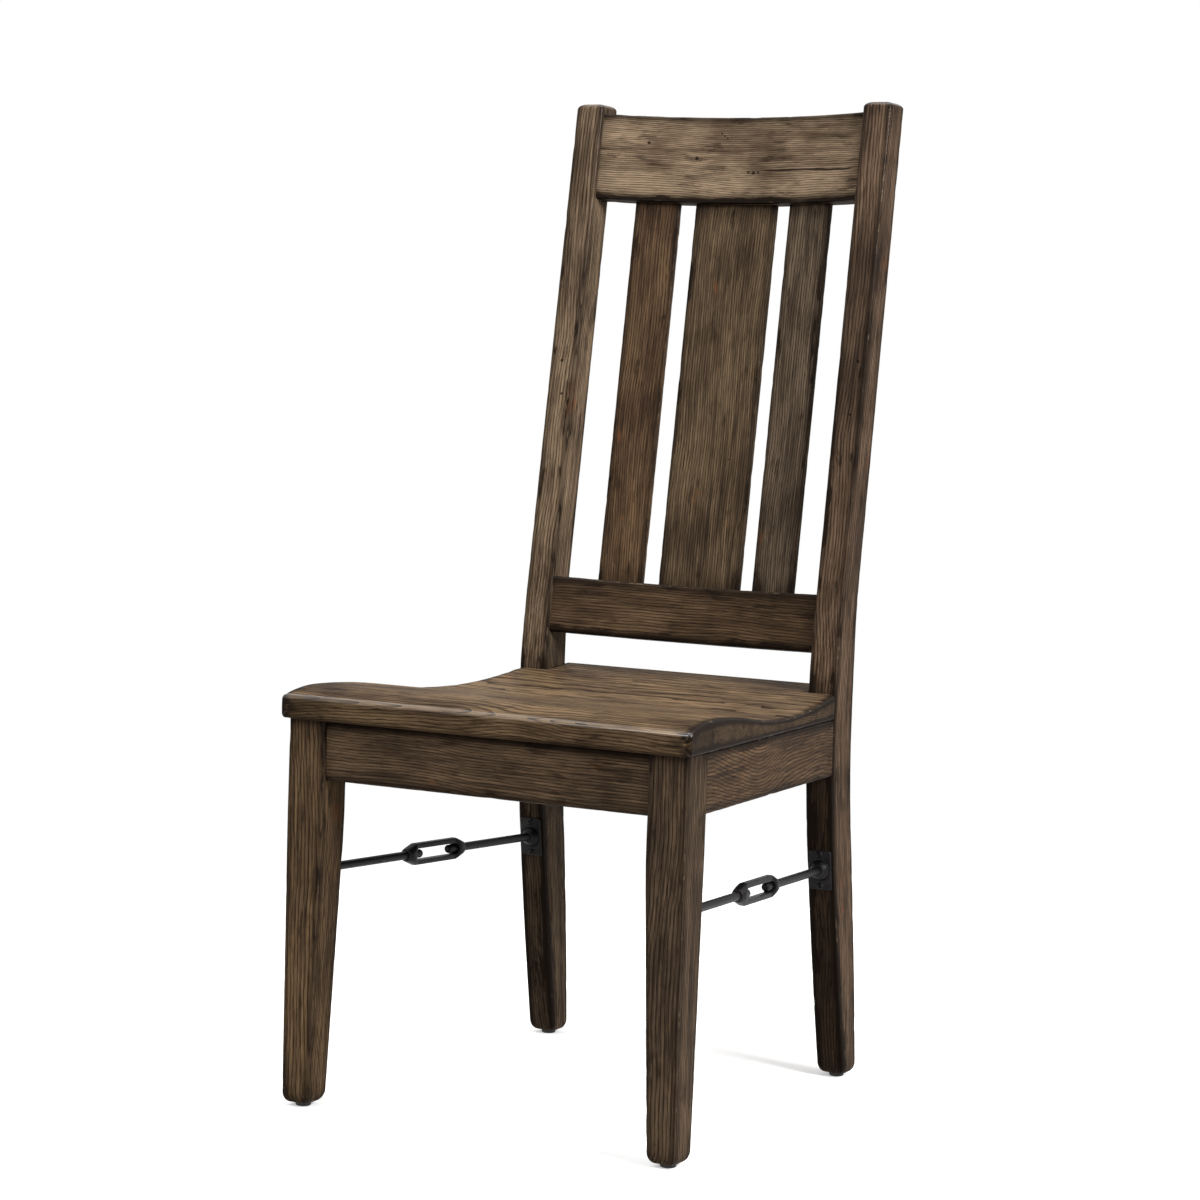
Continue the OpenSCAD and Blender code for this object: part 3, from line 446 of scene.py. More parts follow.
def section(a0, a1, b0, b1, r, flats=(3, 3), turns=5):
    """Points round a rounded rectangle, each with its outward normal and its nearness to an arris."""
    corners = ((a1 - r, b1 - r), (a0 + r, b1 - r), (a0 + r, b0 + r), (a1 - r, b0 + r))
    rows = []
    for n, (ca, cb) in enumerate(corners):
        for k in range(turns):
            share = k / (turns - 1)
            turn = math.pi / 2 * (n + share)
            na, nb = math.cos(turn), math.sin(turn)
            rows.append((ca + r * na, cb + r * nb, na, nb, 1 - 0.3 * abs(2 * share - 1)))
        turn = math.pi / 2 * (n + 1)
        na, nb = math.cos(turn), math.sin(turn)
        da, db = corners[(n + 1) % 4][0] - ca, corners[(n + 1) % 4][1] - cb
        run = math.hypot(da, db)
        seam = min(SEAM, SEAM_SHARE * run)
        count = flats[n % 2]
        first = INNER[0] * seam
        flat = [(first + (run - 2 * first) * (i + 1) / (count + 1), 0.0) for i in range(count)]
        begin = [(away * seam, near) for away, near in (OUTER, INNER)]
        for along, near in begin + flat + [(run - away, near) for away, near in reversed(begin)]:
            rows.append((ca + r * na + da * along / run, cb + r * nb + db * along / run, na, nb, near))
    return rows


RUB, FINE_RUB, KNOCK, WANDER = 40, 130, 62, 16  # how often they come, per metre


def worn(rows, place, wear, seed):
    """Moves a section's points in a little, most at its arrises, as years of use do."""
    found = []
    for a, b, na, nb, near in rows:
        at = Vector(place(a, b)) + Vector((seed, seed * 0.7, -seed))
        rubbed = 0.5 + 0.5 * noise.noise(at * RUB) + 0.3 * noise.noise(at * FINE_RUB)
        knocked = max(0.0, noise.noise(at * KNOCK + Vector((7, 3, 1))) - 0.22)
        uneven = 0.1 * (1 + noise.noise(at * WANDER))
        inward = wear * (near * (0.7 * max(rubbed, 0.0) + 2.4 * knocked) + uneven)
        found.append(place(a - na * inward, b - nb * inward))
    return found


def loft_faces(count, around):
    """Faces of a closed loft through rings of points."""
    faces = [tuple(range(around - 1, -1, -1))]
    for j in range(count - 1):
        low, high = j * around, (j + 1) * around
        faces += [(low + k, low + (k + 1) % around, high + (k + 1) % around, high + k)
                  for k in range(around)]
    return faces + [tuple((count - 1) * around + k for k in range(around))]


def new_piece(name, points, faces, sharp=32, **attributes):
    """A closed mesh object with its faces outward, and a vector for each point in each attribute."""
    mesh = bpy.data.meshes.new(name)
    mesh.from_pydata([tuple(map(float, p)) for p in points], [], faces)
    shape = bmesh.new()
    shape.from_mesh(mesh)
    if shape.calc_volume(signed=True) < 0:
        bmesh.ops.reverse_faces(shape, faces=shape.faces)
        shape.to_mesh(mesh)
    shape.free()
    for key, vectors in attributes.items():
        add_vectors(mesh, key, vectors)
    mesh.shade_smooth()
    mesh.set_sharp_from_angle(angle=math.radians(sharp))
    piece = bpy.data.objects.new(name, mesh)
    bpy.context.scene.collection.objects.link(piece)
    return piece


def add_vectors(mesh, key, vectors):
    """Gives a mesh an attribute with a vector for each of its points."""
    layer =mesh.attributes.get(key) or mesh.attributes.new(key, "FLOAT_VECTOR", "POINT")
    layer.data.foreach_set("vector", np.asarray(vectors, np.float32).ravel())


def dress(piece, material, body, node):
    """Gives a finished piece its material and its place on the frame."""
    piece.data.materials.clear()
    piece.data.materials.append(material)
    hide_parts(node)
    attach(piece, body)


def wooden(name, node, board, stations, grain, glaze, side=RIGHT, seed=0.0, rim=None):
    """A wooden piece lofted through its stations, each (rows of its section, place of a point).

    grain takes a point's place and its two section coordinates, glaze and rim take its place."""
    wear = bpy.context.scene.chair_sizes.wear
    points, looks, grains = [], [], []
    for rows, place in stations:
        for (x, y, z), row in zip(worn(rows, place, wear, seed), rows):
            points.append((side * x, y, z))
            grains.append([c / MM for c in grain(x, y, z, row[0], row[1])])
            # the glaze value is real glaze and, under the seat, painted shade
            looks.append((row[4], glaze(x, y, z), rim(x, y, z) if rim else 0.0))
    faces = loft_faces(len(stations), len(stations[0][0]))
    piece = new_piece(name, points, faces, grain=grains, look=looks)
    dress(piece, oak(board), FRAME_BODY, node)


def operation(name, reflected=False):
    """A method that adds one Math node, reflected where the number stands second, as in 1 - mask."""
    def method(self, *others):
        values = (self, *others)
        return self.tree.maths(name, *(values[::-1] if reflected else values))
    return method


class Value:
    """A number in a node tree, so that sums of numbers read as sums."""

    def __init__(self, tree, socket):
        self.tree, self.socket = tree, socket

    __add__, __radd__ = operation("ADD"), operation("ADD", reflected=True)
    __sub__, __rsub__ = operation("SUBTRACT"), operation("SUBTRACT", reflected=True)
    __mul__, __rmul__ = operation("MULTIPLY"), operation("MULTIPLY", reflected=True)
    __truediv__, __rtruediv__ = operation("DIVIDE"), operation("DIVIDE", reflected=True)
    root, fract, size = operation("SQRT"), operation("FRACT"), operation("ABSOLUTE")

    def capped(self):
        return self.tree.maths("MINIMUM", self.tree.maths("MAXIMUM", self, 0.0), 1.0)

    def rise(self, low, high):
        """0 below low, 1 above high and a smooth rise between them."""
        node = self.tree.node("ShaderNodeMapRange", {"interpolation_type": "SMOOTHSTEP"},
                              {"Value": self, "From Min": low, "From Max": high})
        return Value(self.tree, node.outputs["Result"])


class Tree:
    """Fills the node tree of a material or a world, or a node group."""

    def __init__(self, owner):
        self.owner = owner
        self.tree = getattr(owner, "node_tree", owner)
        self.tree.nodes.clear()

    def node(self, kind, settings=None, values=None):
        """A node of this type, its settings made first, then its inputs set or linked."""
        made = self.tree.nodes.new(kind)
        for key, value in (settings or {}).items():
            setattr(made, key, value)
        for key, value in (values or {}).items():
            value = getattr(value, "socket", value)
            if isinstance(value, bpy.types.NodeSocket):
                self.tree.links.new(value, made.inputs[key])
            else:
                made.inputs[key].default_value = value
        return made

    def maths(self, name, *values):
        made = self.node("ShaderNodeMath", {"operation": name}, dict(enumerate(values)))
        return Value(self, made.outputs[0])

    def parts(self, vector):
        made = self.node("ShaderNodeSeparateXYZ", values={0: vector})
        return [Value(self, made.outputs[n]) for n in range(3)]

    def vector(self, x, y, z):
        return self.node("ShaderNodeCombineXYZ", values={0: x, 1: y, 2: z}).outputs[0]

    def moved(self, vector, shift):
        return self.node("ShaderNodeVectorMath", {"operation": "ADD"}, {0: vector, 1: shift}).outputs[0]

    def scaled(self, vector, share):
        return self.node(
            "ShaderNodeVectorMath", {"operation": "SCALE"}, {0: vector, "Scale": share}).outputs[0]

    def attribute(self, name):
        return self.node("ShaderNodeAttribute", {"attribute_name": name}).outputs["Vector"]

    def place(self):
        return self.node("ShaderNodeTexCoord").outputs["Object"]

    def noise(self, vector, scale=1.0, detail=2.0, roughness=0.5):
        made = self.node("ShaderNodeTexNoise", {"noise_dimensions": "3D"},
                         {"Vector": vector, "Scale": scale, "Detail": detail, "Roughness": roughness})
        return Value(self, made.outputs[0])

    def cells(self, vector):
        """Distance to the nearest point of a scatter, and a number of its own for each point."""
        made = self.node("ShaderNodeTexVoronoi", {"feature": "F1"}, {"Vector": vector, "Scale": 1.0})
        return Value(self, made.outputs["Distance"]), self.parts(made.outputs["Color"])[0]

    def mix(self, share, first, second):
        """One colour turning into another."""
        values = {0: share}
        for key, value in ((6, first), (7, second)):
            values[key] = value if isinstance(value, bpy.types.NodeSocket) else (*value, 1.0)
        return self.node("ShaderNodeMix", {"data_type": "RGBA"}, values).outputs[2]

    def bump(self, height, strength):
        return self.node("ShaderNodeBump", values={
            "Height": height, "Strength": strength, "Distance": MM}).outputs[0]

    def finish(self, values):
        shader = self.node("ShaderNodeBsdfPrincipled", values=values)
        self.node("ShaderNodeOutputMaterial", values={"Surface": shader.outputs[0]})
        return self.owner


def material_tree(name):
    material = bpy.data.materials.new(name)
    material.use_nodes = True
    return Tree(material)


APART_ALONG, APART_ACROSS = 137.0, 3.1  # millimetres between the figures of two seeds that differ by 1


def oak(name):
    """Stained oak for one board: growth rings round a wandering pith, open pores, streaks of stain,
    dark glaze and painted shade, wear and painted highlights, knocks and a crack. The grain attribute
    runs along, across and into the board."""
    look, board = bpy.context.scene.chair_oak, BOARDS[name]
    light, dark = [linear(c) for c in board.light], [linear(c) for c in board.dark]
    t = material_tree("oak_" + name)
    along, across, w = t.parts(t.attribute("grain"))
    # glaze is real glaze in joints and along arrises, and painted shade under the seat
    edge, glaze, rim = t.parts(t.attribute("look"))
    u, v = along + board.seed * APART_ALONG, across + board.seed * APART_ACROSS

    def stretched(long, wide, shift=None):
        """A place in the wood, with frequencies per millimetre along the grain and across it."""
        place = t.vector(u * long, v * wide, w * wide)
        return t.moved(place, shift) if shift else place

    def scatter(long, wide, detail=2.0, roughness=0.5, shift=None):
        return t.noise(stretched(long, wide, shift), detail=detail, roughness=roughness)

    # growth rings
    slow = scatter(0.0042, 0.006, detail=1.0)
    sway = scatter(0.014, 0.03, shift=(5.0, 0.0, 0.0))
    from_pith = across - board.pith[0] + (slow - 0.5) * board.wave + along * board.tilt
    depth = w + board.pith[1] + (sway - 0.5) * 3.0
    radius = (from_pith * from_pith + depth * depth).root()
    rings = (radius / (look.ring * board.narrow) + (sway - 0.5) * 0.9).fract()
    line = (1.0 - rings * 2.3).capped()

    # pores, fibres and the places where the stain took more or less
    pores = scatter(0.055, 1.1, roughness=0.6).rise(0.48, 0.60) * (0.3 + line * 0.7)
    fine = scatter(0.035, 2.2, roughness=0.7)
    stripes = scatter(0.005, 0.13, shift=(0.0, 0.0, 3.0))
    streak = scatter(0.011, 0.38, detail=3.0, roughness=0.6, shift=(4.0, 0.0, 0.0))
    broad = scatter(0.008, 0.018, detail=3.0, roughness=0.6, shift=(0.0, 9.0, 0.0))
    patch = scatter(0.021, 0.034, detail=3.0, shift=(0.0, 0.0, 4.0))

    # stain, growth lines and pores
    streaky = board.streaky
    tone = broad * (0.75 - 0.3 * streaky) + stripes * 0.25 + streak * (0.3 * streaky)
    surface = t.mix(tone.rise(0.37, 0.62), dark, light)
    streaks = 1.0 - 0.14 * streaky + streak.rise(0.34, 0.66) * (0.32 * streaky)
    surface = t.scaled(surface, (0.64 + fine.rise(0.32, 0.68) * 0.66) * streaks)
    surface = t.mix((line * look.line * (0.45 + stripes * 0.95)).capped(), surface, look.pore)
    surface = t.mix((pores * look.pores).capped(), surface, look.pore)
    spots = patch.rise(0.64, 0.74) * broad.rise(0.45, 0.6)
    surface = t.mix(spots * 0.5, surface, look.spot)

    # glaze along the arrises, in the corners and in blots, and painted shade under the seat, rubbed off
    # again where hands reach to lighter wood that is partly a painted highlight
    drip = scatter(0.018, 0.15, detail=4.0, roughness=0.65).rise(0.50, 0.60)
    blot = drip * patch.rise(0.48, 0.60) * (0.3 + fine.rise(0.35, 0.6) * 0.7)
    glazed = edge.rise(0.12, 0.7) * (0.25 + patch * 0.85) + glaze * (0.55 + patch * 0.6) + blot * 0.9
    surface = t.mix((glazed * 0.85).capped(), surface, look.glaze)
    rub = scatter(0.05, 0.05, detail=3.0, roughness=0.65, shift=(0.0, 0.0, 8.0))
    # lighter bare wood on the arrises: partly real wear, partly a painted highlight
    wear_and_glint = edge.rise(0.8, 1.0) * rub.rise(0.56, 0.68)
    surface = t.mix(wear_and_glint * 0.28, surface, look.worn)

    # pin holes, the board's own marks, its crack and shallow dents
    far, own = t.cells(stretched(0.018, 0.018))
    hole = (1.0 - far.rise(0.014, 0.030)) * own.rise(0.66, 0.68)
    for mark_u, mark_v, mark_r in board.marks:
        off_u, off_v = along - mark_u, across - mark_v
        off = (off_u * off_u + off_v * off_v).root()
        hole = hole + (1.0 - off.rise(mark_r * 0.5, mark_r * 1.2))
    if board.crack:
        start, end, crack_v = board.crack
        open_at = (across - crack_v - (sway - 0.5) * 8.0).size()
        within = along.rise(start, start + 12.0) * (1.0 - along.rise(end - 12.0, end))
        hole = hole + (1.0 - open_at.rise(0.6, 1.5)) * within
    hole = hole.capped()
    surface = t.mix(hole * 0.9, surface, look.glaze)
    far, own = t.cells(stretched(0.010, 0.022, shift=(2.0, 0.0, 0.0)))
    dent = (1.0 - far.rise(0.02, 0.16)) * own.rise(0.5, 0.6)
    surface = t.mix(dent * 0.35, surface, look.glaze)

    relief = (fine * 0.05 - line * 0.12 - pores * 0.26 - hole * 1.2 - dent * 0.6 + broad * 0.8
              - wear_and_glint * 0.15)
    rough = look.roughness + pores * 0.16 + (fine - 0.5) * 0.14 - wear_and_glint * 0.08 + line * 0.05
    sheen = edge.rise(0.7, 1.0) * 0.14 + rim.rise(0.6, 0.95)
    return t.finish({
        "Base Color": surface, "Roughness": rough.capped(), "Specular IOR Level": look.specular,
        "Coat Weight": sheen.capped(), "Coat Roughness": look.coat_roughness,
        "Normal": t.bump(relief, look.bump)})


def iron(name, seed):
    """Blackened iron with a cast skin, brighter at its edges, partly rubbed and partly a painted
    highlight.
    """
    look = bpy.context.scene.chair_iron
    t = material_tree(name)
    x, y, z = t.parts(t.place())
    at = t.vector(x + seed, y, z)
    edge = t.parts(t.attribute("look"))[0]
    skin = t.noise(at, scale=420.0, detail=3.0, roughness=0.6)
    cloud = t.noise(at, scale=38.0, detail=3.0)
    speck = t.noise(at, scale=1500.0, detail=1.0)
    # brighter edges: partly rubbed iron, partly a painted highlight
    rubbed = (edge.rise(0.4, 1.0) * cloud.rise(0.3, 0.6) * 0.5).capped()
    surface = t.mix(rubbed, t.mix(cloud.rise(0.35, 0.65), look.dark, look.light), look.rubbed)
    return t.finish({
        "Base Color": t.scaled(surface, 0.8 + speck * 0.4),
        "Roughness": (0.30 + skin * 0.22 + cloud * 0.08).capped(),
        "Metallic": look.metallic, "Specular IOR Level": look.specular,
        "Normal": t.bump(skin * 0.10 + speck * 0.03, 0.8)})


def plastic(name):
    """Black plastic with a fine grain and pale scuffs."""
    look = bpy.context.scene.chair_iron
    t = material_tree(name)
    at = t.place()
    grainy = t.noise(at, scale=900.0, detail=2.0)
    scuffs = t.noise(at, scale=90.0, detail=3.0)
    surface = t.mix(scuffs.rise(0.45, 0.75) * 0.6, look.glide, [2.2 * c for c in look.glide])
    return t.finish({"Base Color": surface, "Roughness": (0.4 + scuffs * 0.25).capped(),
                     "Normal": t.bump(grainy * 0.06, 0.7)})


def steel(name):
    """Zinc-plated steel with its spangle and dull places."""
    look = bpy.context.scene.chair_iron
    t = material_tree(name)
    at = t.place()
    spangle = t.noise(at, scale=260.0, detail=3.0)
    dull = t.noise(at, scale=45.0, detail=2.0)
    surface = t.mix(dull.rise(0.3, 0.7), [0.6 * c for c in look.steel], look.steel)
    return t.finish({"Base Color": surface, "Metallic": 0.9,
                     "Roughness": (0.28 + spangle * 0.24).capped(),
                     "Normal": t.bump(spangle * 0.05, 0.6)})


def block_wood(name):
    """Plain pale hardwood, its grain running across the chair."""
    look = bpy.context.scene.chair_iron
    t = material_tree(name)
    x, y, z = t.parts(t.place())
    bend = t.noise(t.vector(x * 4.0, y * 9.0, z * 9.0), detail=2.0)
    rings = ((z + 0.2 + (bend - 0.5) * 0.02 + y * 0.12) * 260.0).fract()
    fibre = t.noise(t.vector(x * 40.0, y * 900.0, z * 900.0), detail=2.0)
    surface = t.mix((rings * 0.5 + fibre * 0.4).capped(), look.block_light, look.block_dark)
    return t.finish({"Base Color": surface, "Roughness": (0.55 + fibre * 0.2).capped(),
                     "Normal": t.bump(fibre * 0.12 - rings * 0.05, 0.7)})


def foot_rings(s, top):
    """Heights and insets of a leg's rings: its rounded foot, then every step up to its top."""
    rounding = [(s.glide_h + s.foot_up * (1 - math.cos(t)), s.foot_in * (1 - math.sin(t)))
                for t in quarter(8)]
    return rounding + [(z, 0.0) for z in steps(s.glide_h + s.foot_up, top, s.step)[1:]]


def at_height(c, z):
    """Puts the points of a level section in place."""
    return lambda a, b: (a, b - c.middle_y, z)


class FrontLegs(bpy.types.Operator):
    """Builds the two front legs, square at the seat and tapered to the floor"""
    bl_idname = "chair.front_legs"
    bl_label = "Front legs"

    def execute(self, context):
        s, c = measured(context)
        stations = []
        for z, inset in foot_rings(s, s.seat_under):
            rows = section(
                s.front_w / 2 - s.leg_w + c.taper_in(z) + inset, s.front_w / 2 - inset,
                c.taper_fr(z) + inset, s.leg_d - c.taper_fr(z) - inset, s.arris_r)
            stations.append((rows, at_height(c, z)))

        def glaze(x, y, z):
            # darker at the leg's top: painted shadow of the seat together with real glaze in the joint;
            # also darker at the foot
            seat_shadow_and_glaze, foot = band(z - s.seat_under, -0.027, 0.003, 0.75), band(z, 0.03, 0.0, 0.35)
            return seat_shadow_and_glaze + foot

        for side, name in SIDES:
            wooden("front_leg_wood_" + name, "front_leg_" + name, "leg_" + name, stations,
                   lambda x, y, z, a, b: (z, a - s.front_w / 2, b), glaze, side, seed=11.0 + side)
        return {"FINISHED"}


class RearPosts(bpy.types.Operator):
    """Builds the two bent rear posts with their domed tops"""
    bl_idname = "chair.rear_posts"
    bl_label = "Rear posts"

    def execute(self, context):
        s, c = measured(context)
        # painted shade: the right post is darkened in a band round 0.78 m high, most on its front face
        shade_band = {LEFT: 0.0, RIGHT: 0.55}
        shade_band_z, shade_band_run = 0.78, 0.22
        dome = [(s.total_h - s.dome_h * (1 - math.sin(t)), s.dome_run * (1 - math.cos(t)))
                for t in quarter(9)]
        stations = []
        for z, inset in foot_rings(s, s.total_h - s.dome_h)[:-1] + dome:
            inner = c.post_in + c.post_out(z) + inset
            rows = section(inner, inner + s.post_w - 2 * inset,
                           c.post_front(z) + inset, c.post_rear(z) - inset, s.arris_r)
            stations.append((rows, at_height(c, z)))

        def rim(x, y, z):
            """Polish on the domed top."""
            return band(z - s.total_h, -0.0055, -0.0035, 0.8)

        for side, name in SIDES:
            def glaze(x, y, z):
                # below the seat the posts' front faces are darkened: painted shade under the seat, with a
                # little real glaze near the apron joint
                below = band(z - c.seat_top, 0.02, -0.01)
                joint = band(z - c.apron_low, -0.058, -0.018, 0.1)
                front = band(y + c.middle_y - c.post_front(z), 0.004, 0.0)
                band_shade = band(abs(z - shade_band_z), shade_band_run, 0.0, shade_band[side])
                top = band(z - s.total_h, -0.02, 0.0, 0.3)
                return band_shade * (0.35 + 0.65 * front) + below * (0.9 * front + joint) + top

            wooden("rear_post_wood_" + name, "rear_post_" + name, "post_" + name, stations,
                   lambda x, y, z, a, b: (z, a - s.rear_w / 2, b - c.post_y(z)),
                   glaze, side, seed=21.0 + side, rim=rim)
        return {"FINISHED"}


class Seat(bpy.types.Operator):
    """Builds the scooped plank seat with its rolled nose"""
    bl_idname = "chair.seat"
    bl_label = "Seat"

    def execute(self, context):
        s, c = measured(context)
        side_r, sharp_r, corner_r, rear_r = 0.004, 0.001, 0.002, 0.003
        front_in, ring_step = 0.003, 0.004
        inner = c.post_in - s.seat_gap
        front = c.seat_front
        stations = []

        def ring(y, half, low, high, r=side_r):
            rows = section(-half, half, low, high, min(r, (high - low) / 3), flats=(36, 2))
            stations.append((rows, lambda a, b: (a, y - c.middle_y, b)))

        ring(front, c.seat_half(front) - side_r, c.seat_low(front) + front_in,
             c.seat_height(front) - front_in, side_r / 2)
        nose = [front + s.edge_r * (1 - math.cos(t)) for t in quarter(8)]
        for y in nose + steps(front + s.edge_r, c.notch_y - corner_r, ring_step)[1:]:
            ring(y, c.seat_half(y), c.seat_low(y), c.seat_height(y))
        for t in quarter(4)[1:]:
            y = c.notch_y - corner_r + corner_r * math.sin(t)
            ring(y, c.seat_half(y) - corner_r * (1 - math.cos(t)), s.seat_under, c.seat_height(y))
        ring(c.notch_y, inner, s.seat_under, c.seat_height(c.notch_y), sharp_r)
        for y in steps(c.notch_y, c.seat_rear - rear_r, ring_step)[1:]:
            ring(y, inner, s.seat_under, c.seat_height(y), sharp_r)
        for t in quarter(5)[1:]:
            y = c.seat_rear - rear_r + rear_r * math.sin(t)
            inset = rear_r * (1 - math.cos(t))
            ring(y, inner, s.seat_under + inset, c.seat_height(y) - inset, sharp_r)

        def glaze(x, y, z):
            depth = y + c.middle_y
            back = band(depth - c.notch_y, -0.03, 0.02, 0.5)
            below = band(z - s.seat_under, 0.006, 0.0, 0.5)
            ends = band(abs(x) - c.seat_half(depth), -0.004, -0.001, 0.8)
            scuffs = clamp01(0.35 + 1.5 * noise.noise(Vector((x * 11, y * 26, 3))))
            return back + below + ends + scuffs * band(depth - front, 0.108, 0.018, 0.55)

        def rim(x, y, z):
            """1 along the upper edge of the nose."""
            top = c.seat_height(front + s.edge_r)
            return band(y + c.middle_y - front, 0.011, 0.005) * band(z - top, -0.008, -0.003)

        wooden("seat_wood", "seat", "seat", stations, lambda x, y, z, a, b: (x, y, z), glaze,
               seed=31.0, rim=rim)
        return {"FINISHED"}


class BackRails(bpy.types.Operator):
    """Builds the crest rail and the lower back rail, both bowed backward"""
    bl_idname = "chair.back_rails"
    bl_label = "Back rails"

    def execute(self, context):
        s, c = measured(context)
        rails = (("crest_rail_wood", "crest_rail", c.crest_low, s.crest_h, s.crest_t, s.crest_set),
                 ("lower_rail_wood", "lower_back_rail", c.rail_low, s.rail_h, s.rail_t, s.rail_set))
        cloud_x, cloud_z, cloud_long, cloud_high = 0.042, 0.037, 0.03, 0.012
        for name, node, low, high, thick, set_back in rails:
            centre = -set_back - c.bow_back

            def station(share):
                def place(a, b):
                    height = c.raked(0, 0, b)[2]
                    x = share * (c.post_in + c.post_out(height))
                    return c.raked(x, centre + math.sqrt((s.bow_r + a) ** 2 - x * x), b)
                return section(0, thick, low, low + high, s.rail_edge_r, (2, 8)), place

            board = BOARDS[node]
            bottom, top = c.raked(0, 0, low)[2], c.raked(0, 0, low + high)[2]

            def glaze(x, y, z):
                ends = band(abs(x) - c.post_in, -0.022, 0.0) ** 1.5
                under, over = band(z - bottom, 0.013, 0.001, 0.65), band(top - z, 0.020, 0.004, 0.3)
                away = ((x - cloud_x) / cloud_long) ** 2 + ((z - bottom - cloud_z) / cloud_high) ** 2
                cloud = 0.45 * math.exp(-away) if board.crack else 0.0
                return 0.6 * ends + under + over + cloud

            wooden(name, node, node, [station(share) for share in np.linspace(-1, 1, 73)],
                   lambda x, y, z, a, b: (x, b - low, a), glaze, seed=41.0 + board.seed)
        return {"FINISHED"}


class Slats(bpy.types.Operator):
    """Builds the centre slat and the two side slats, turned to follow the bow"""
    bl_idname = "chair.slats"
    bl_label = "Slats"

    def execute(self, context):
        s, c = measured(context)
        aside = math.asin(s.side_slat_x / (s.bow_r + s.slat_set))
        low, high = c.raked(0, 0, c.rail_top)[2], c.raked(0, 0, c.crest_low)[2]

        def glaze(x, y, z):
            return 0.7 * band(z - high, -0.03, 0.0) ** 1.5 + band(z - low, 0.022, 0.0, 0.6)

        for node, width, turn in (("centre_slat", s.slat_w, 0.0),
                                  ("side_slat_left", s.side_slat_w, -aside),
                                  ("side_slat_right", s.side_slat_w, aside)):
            def station(along):
                def place(a, b):
                    out = s.bow_r + s.slat_set + b
                    x = a * math.cos(turn) + out * math.sin(turn)
                    y = -a * math.sin(turn) + out * math.cos(turn)
                    return c.raked(x, y - s.rail_set - c.bow_back, along)
                return section(-width / 2, width / 2, 0, s.slat_t, s.slat_edge_r, (6, 1)), place

            stations = [station(along) for along in steps(c.rail_top, c.crest_low, s.step)]
            wooden(node + "_wood", node, node, stations, lambda x, y, z, a, b: (z, a, b), glaze,
                   seed=51.0 + BOARDS[node].seed)
        return {"FINISHED"}


class Aprons(bpy.types.Operator):
    """Builds the front, rear and side aprons under the seat"""
    bl_idname = "chair.aprons"
    bl_label = "Aprons"

    def execute(self, context):
        s, c = measured(context)
        slope = c.apron_slope
        rough_run = 0.37  # about the length of a side apron

        def rows(a0):
            return section(a0, a0 + s.apron_t, c.apron_low, s.seat_under, s.apron_edge_r, (2, 5))

        def grain(x, y, z, a, b):
            return x, b - c.apron_low, a

        def side_grain(x, y, z, a, b):
            return y, b - c.apron_low, a

        def glaze(z, from_end):
            # darker along the apron's top: painted shadow of the seat together with real glaze in the
            # joint
            seat_shadow_and_glaze = band(z - s.seat_under, -0.01, 0.0, 0.75)
            low_edge = band(z - c.apron_low, 0.01, 0.0, 0.25)
            return seat_shadow_and_glaze + low_edge + band(from_end, 0.012, 0.0, 0.5)

        def crosswise(x):
            return lambda a, b: (x, a - c.middle_y, b)

        def lengthwise(share):
            def place(a, b):
                y = s.leg_d + share * (c.post_front(b) - s.leg_d)
                along = (y + a * math.sin(slope)) / math.cos(slope)
                x = s.front_w / 2 - s.side_apron_set - along * math.sin(slope) - a * math.cos(slope)
                return x, y - c.middle_y, b
            return place

        for node, half, y0 in (("front_apron", s.front_w / 2 - s.leg_w, s.apron_set),
                               ("rear_apron", c.post_in, c.rear_apron_y)):
            wooden(node + "_wood", node, node,
                   [(rows(y0), crosswise(x)) for x in steps(-half, half, s.step)], grain,
                   lambda x, y, z: glaze(z, half - abs(x)), seed=61.0 + BOARDS[node].seed)
        for side, name in SIDES:
            node = "side_apron_" + name
            wooden(node + "_wood", node, node,
                   [(rows(0), lengthwise(share)) for share in steps(0, 1, s.step / rough_run)],
                   side_grain, lambda x, y, z: glaze(z, y + c.middle_y - s.leg_d), side,
                   seed=71.0 + side)
        return {"FINISHED"}


def stacked(name, rings, side=RIGHT, sharp=32):
    """A closed piece through rings of points, mirrored to its side."""
    points = [(side * x, y, z) for ring in rings for x, y, z in ring]
    return new_piece(name, points, loft_faces(len(rings), len(rings[0])), sharp)


def turned(name, profile, around, place, side=RIGHT, shape=None, sharp=32):
    """A closed piece from (radius, height) pairs turned round Z, then put in place."""
    rings = []
    for r, z in profile:
        ring = []
        for k in range(around):
            turn = 2 * math.pi * k / around
            out = shape(r, turn) if shape else r
            ring.append(place @ Vector((out * math.cos(turn), out * math.sin(turn), z)))
        rings.append(ring)
    return stacked(name, rings, side, sharp)


def joined(piece, tool, change):
    """Cuts the tool out of the piece, or adds it to it, and removes the tool."""
    modifier = piece.modifiers.new("join", "BOOLEAN")
    modifier.operation, modifier.solver, modifier.object = change, "EXACT", tool
    settle(piece)
    bpy.data.meshes.remove(tool.data)


def settle(piece):
    """Makes what the piece's modifiers show its plain mesh."""
    shown = piece.evaluated_get(bpy.context.evaluated_depsgraph_get())
    mesh = bpy.data.meshes.new_from_object(shown)
    if not mesh.polygons:
        raise RuntimeError(piece.name + " came out empty")
    piece.modifiers.clear()
    old, piece.data = piece.data, mesh
    bpy.data.meshes.remove(old)


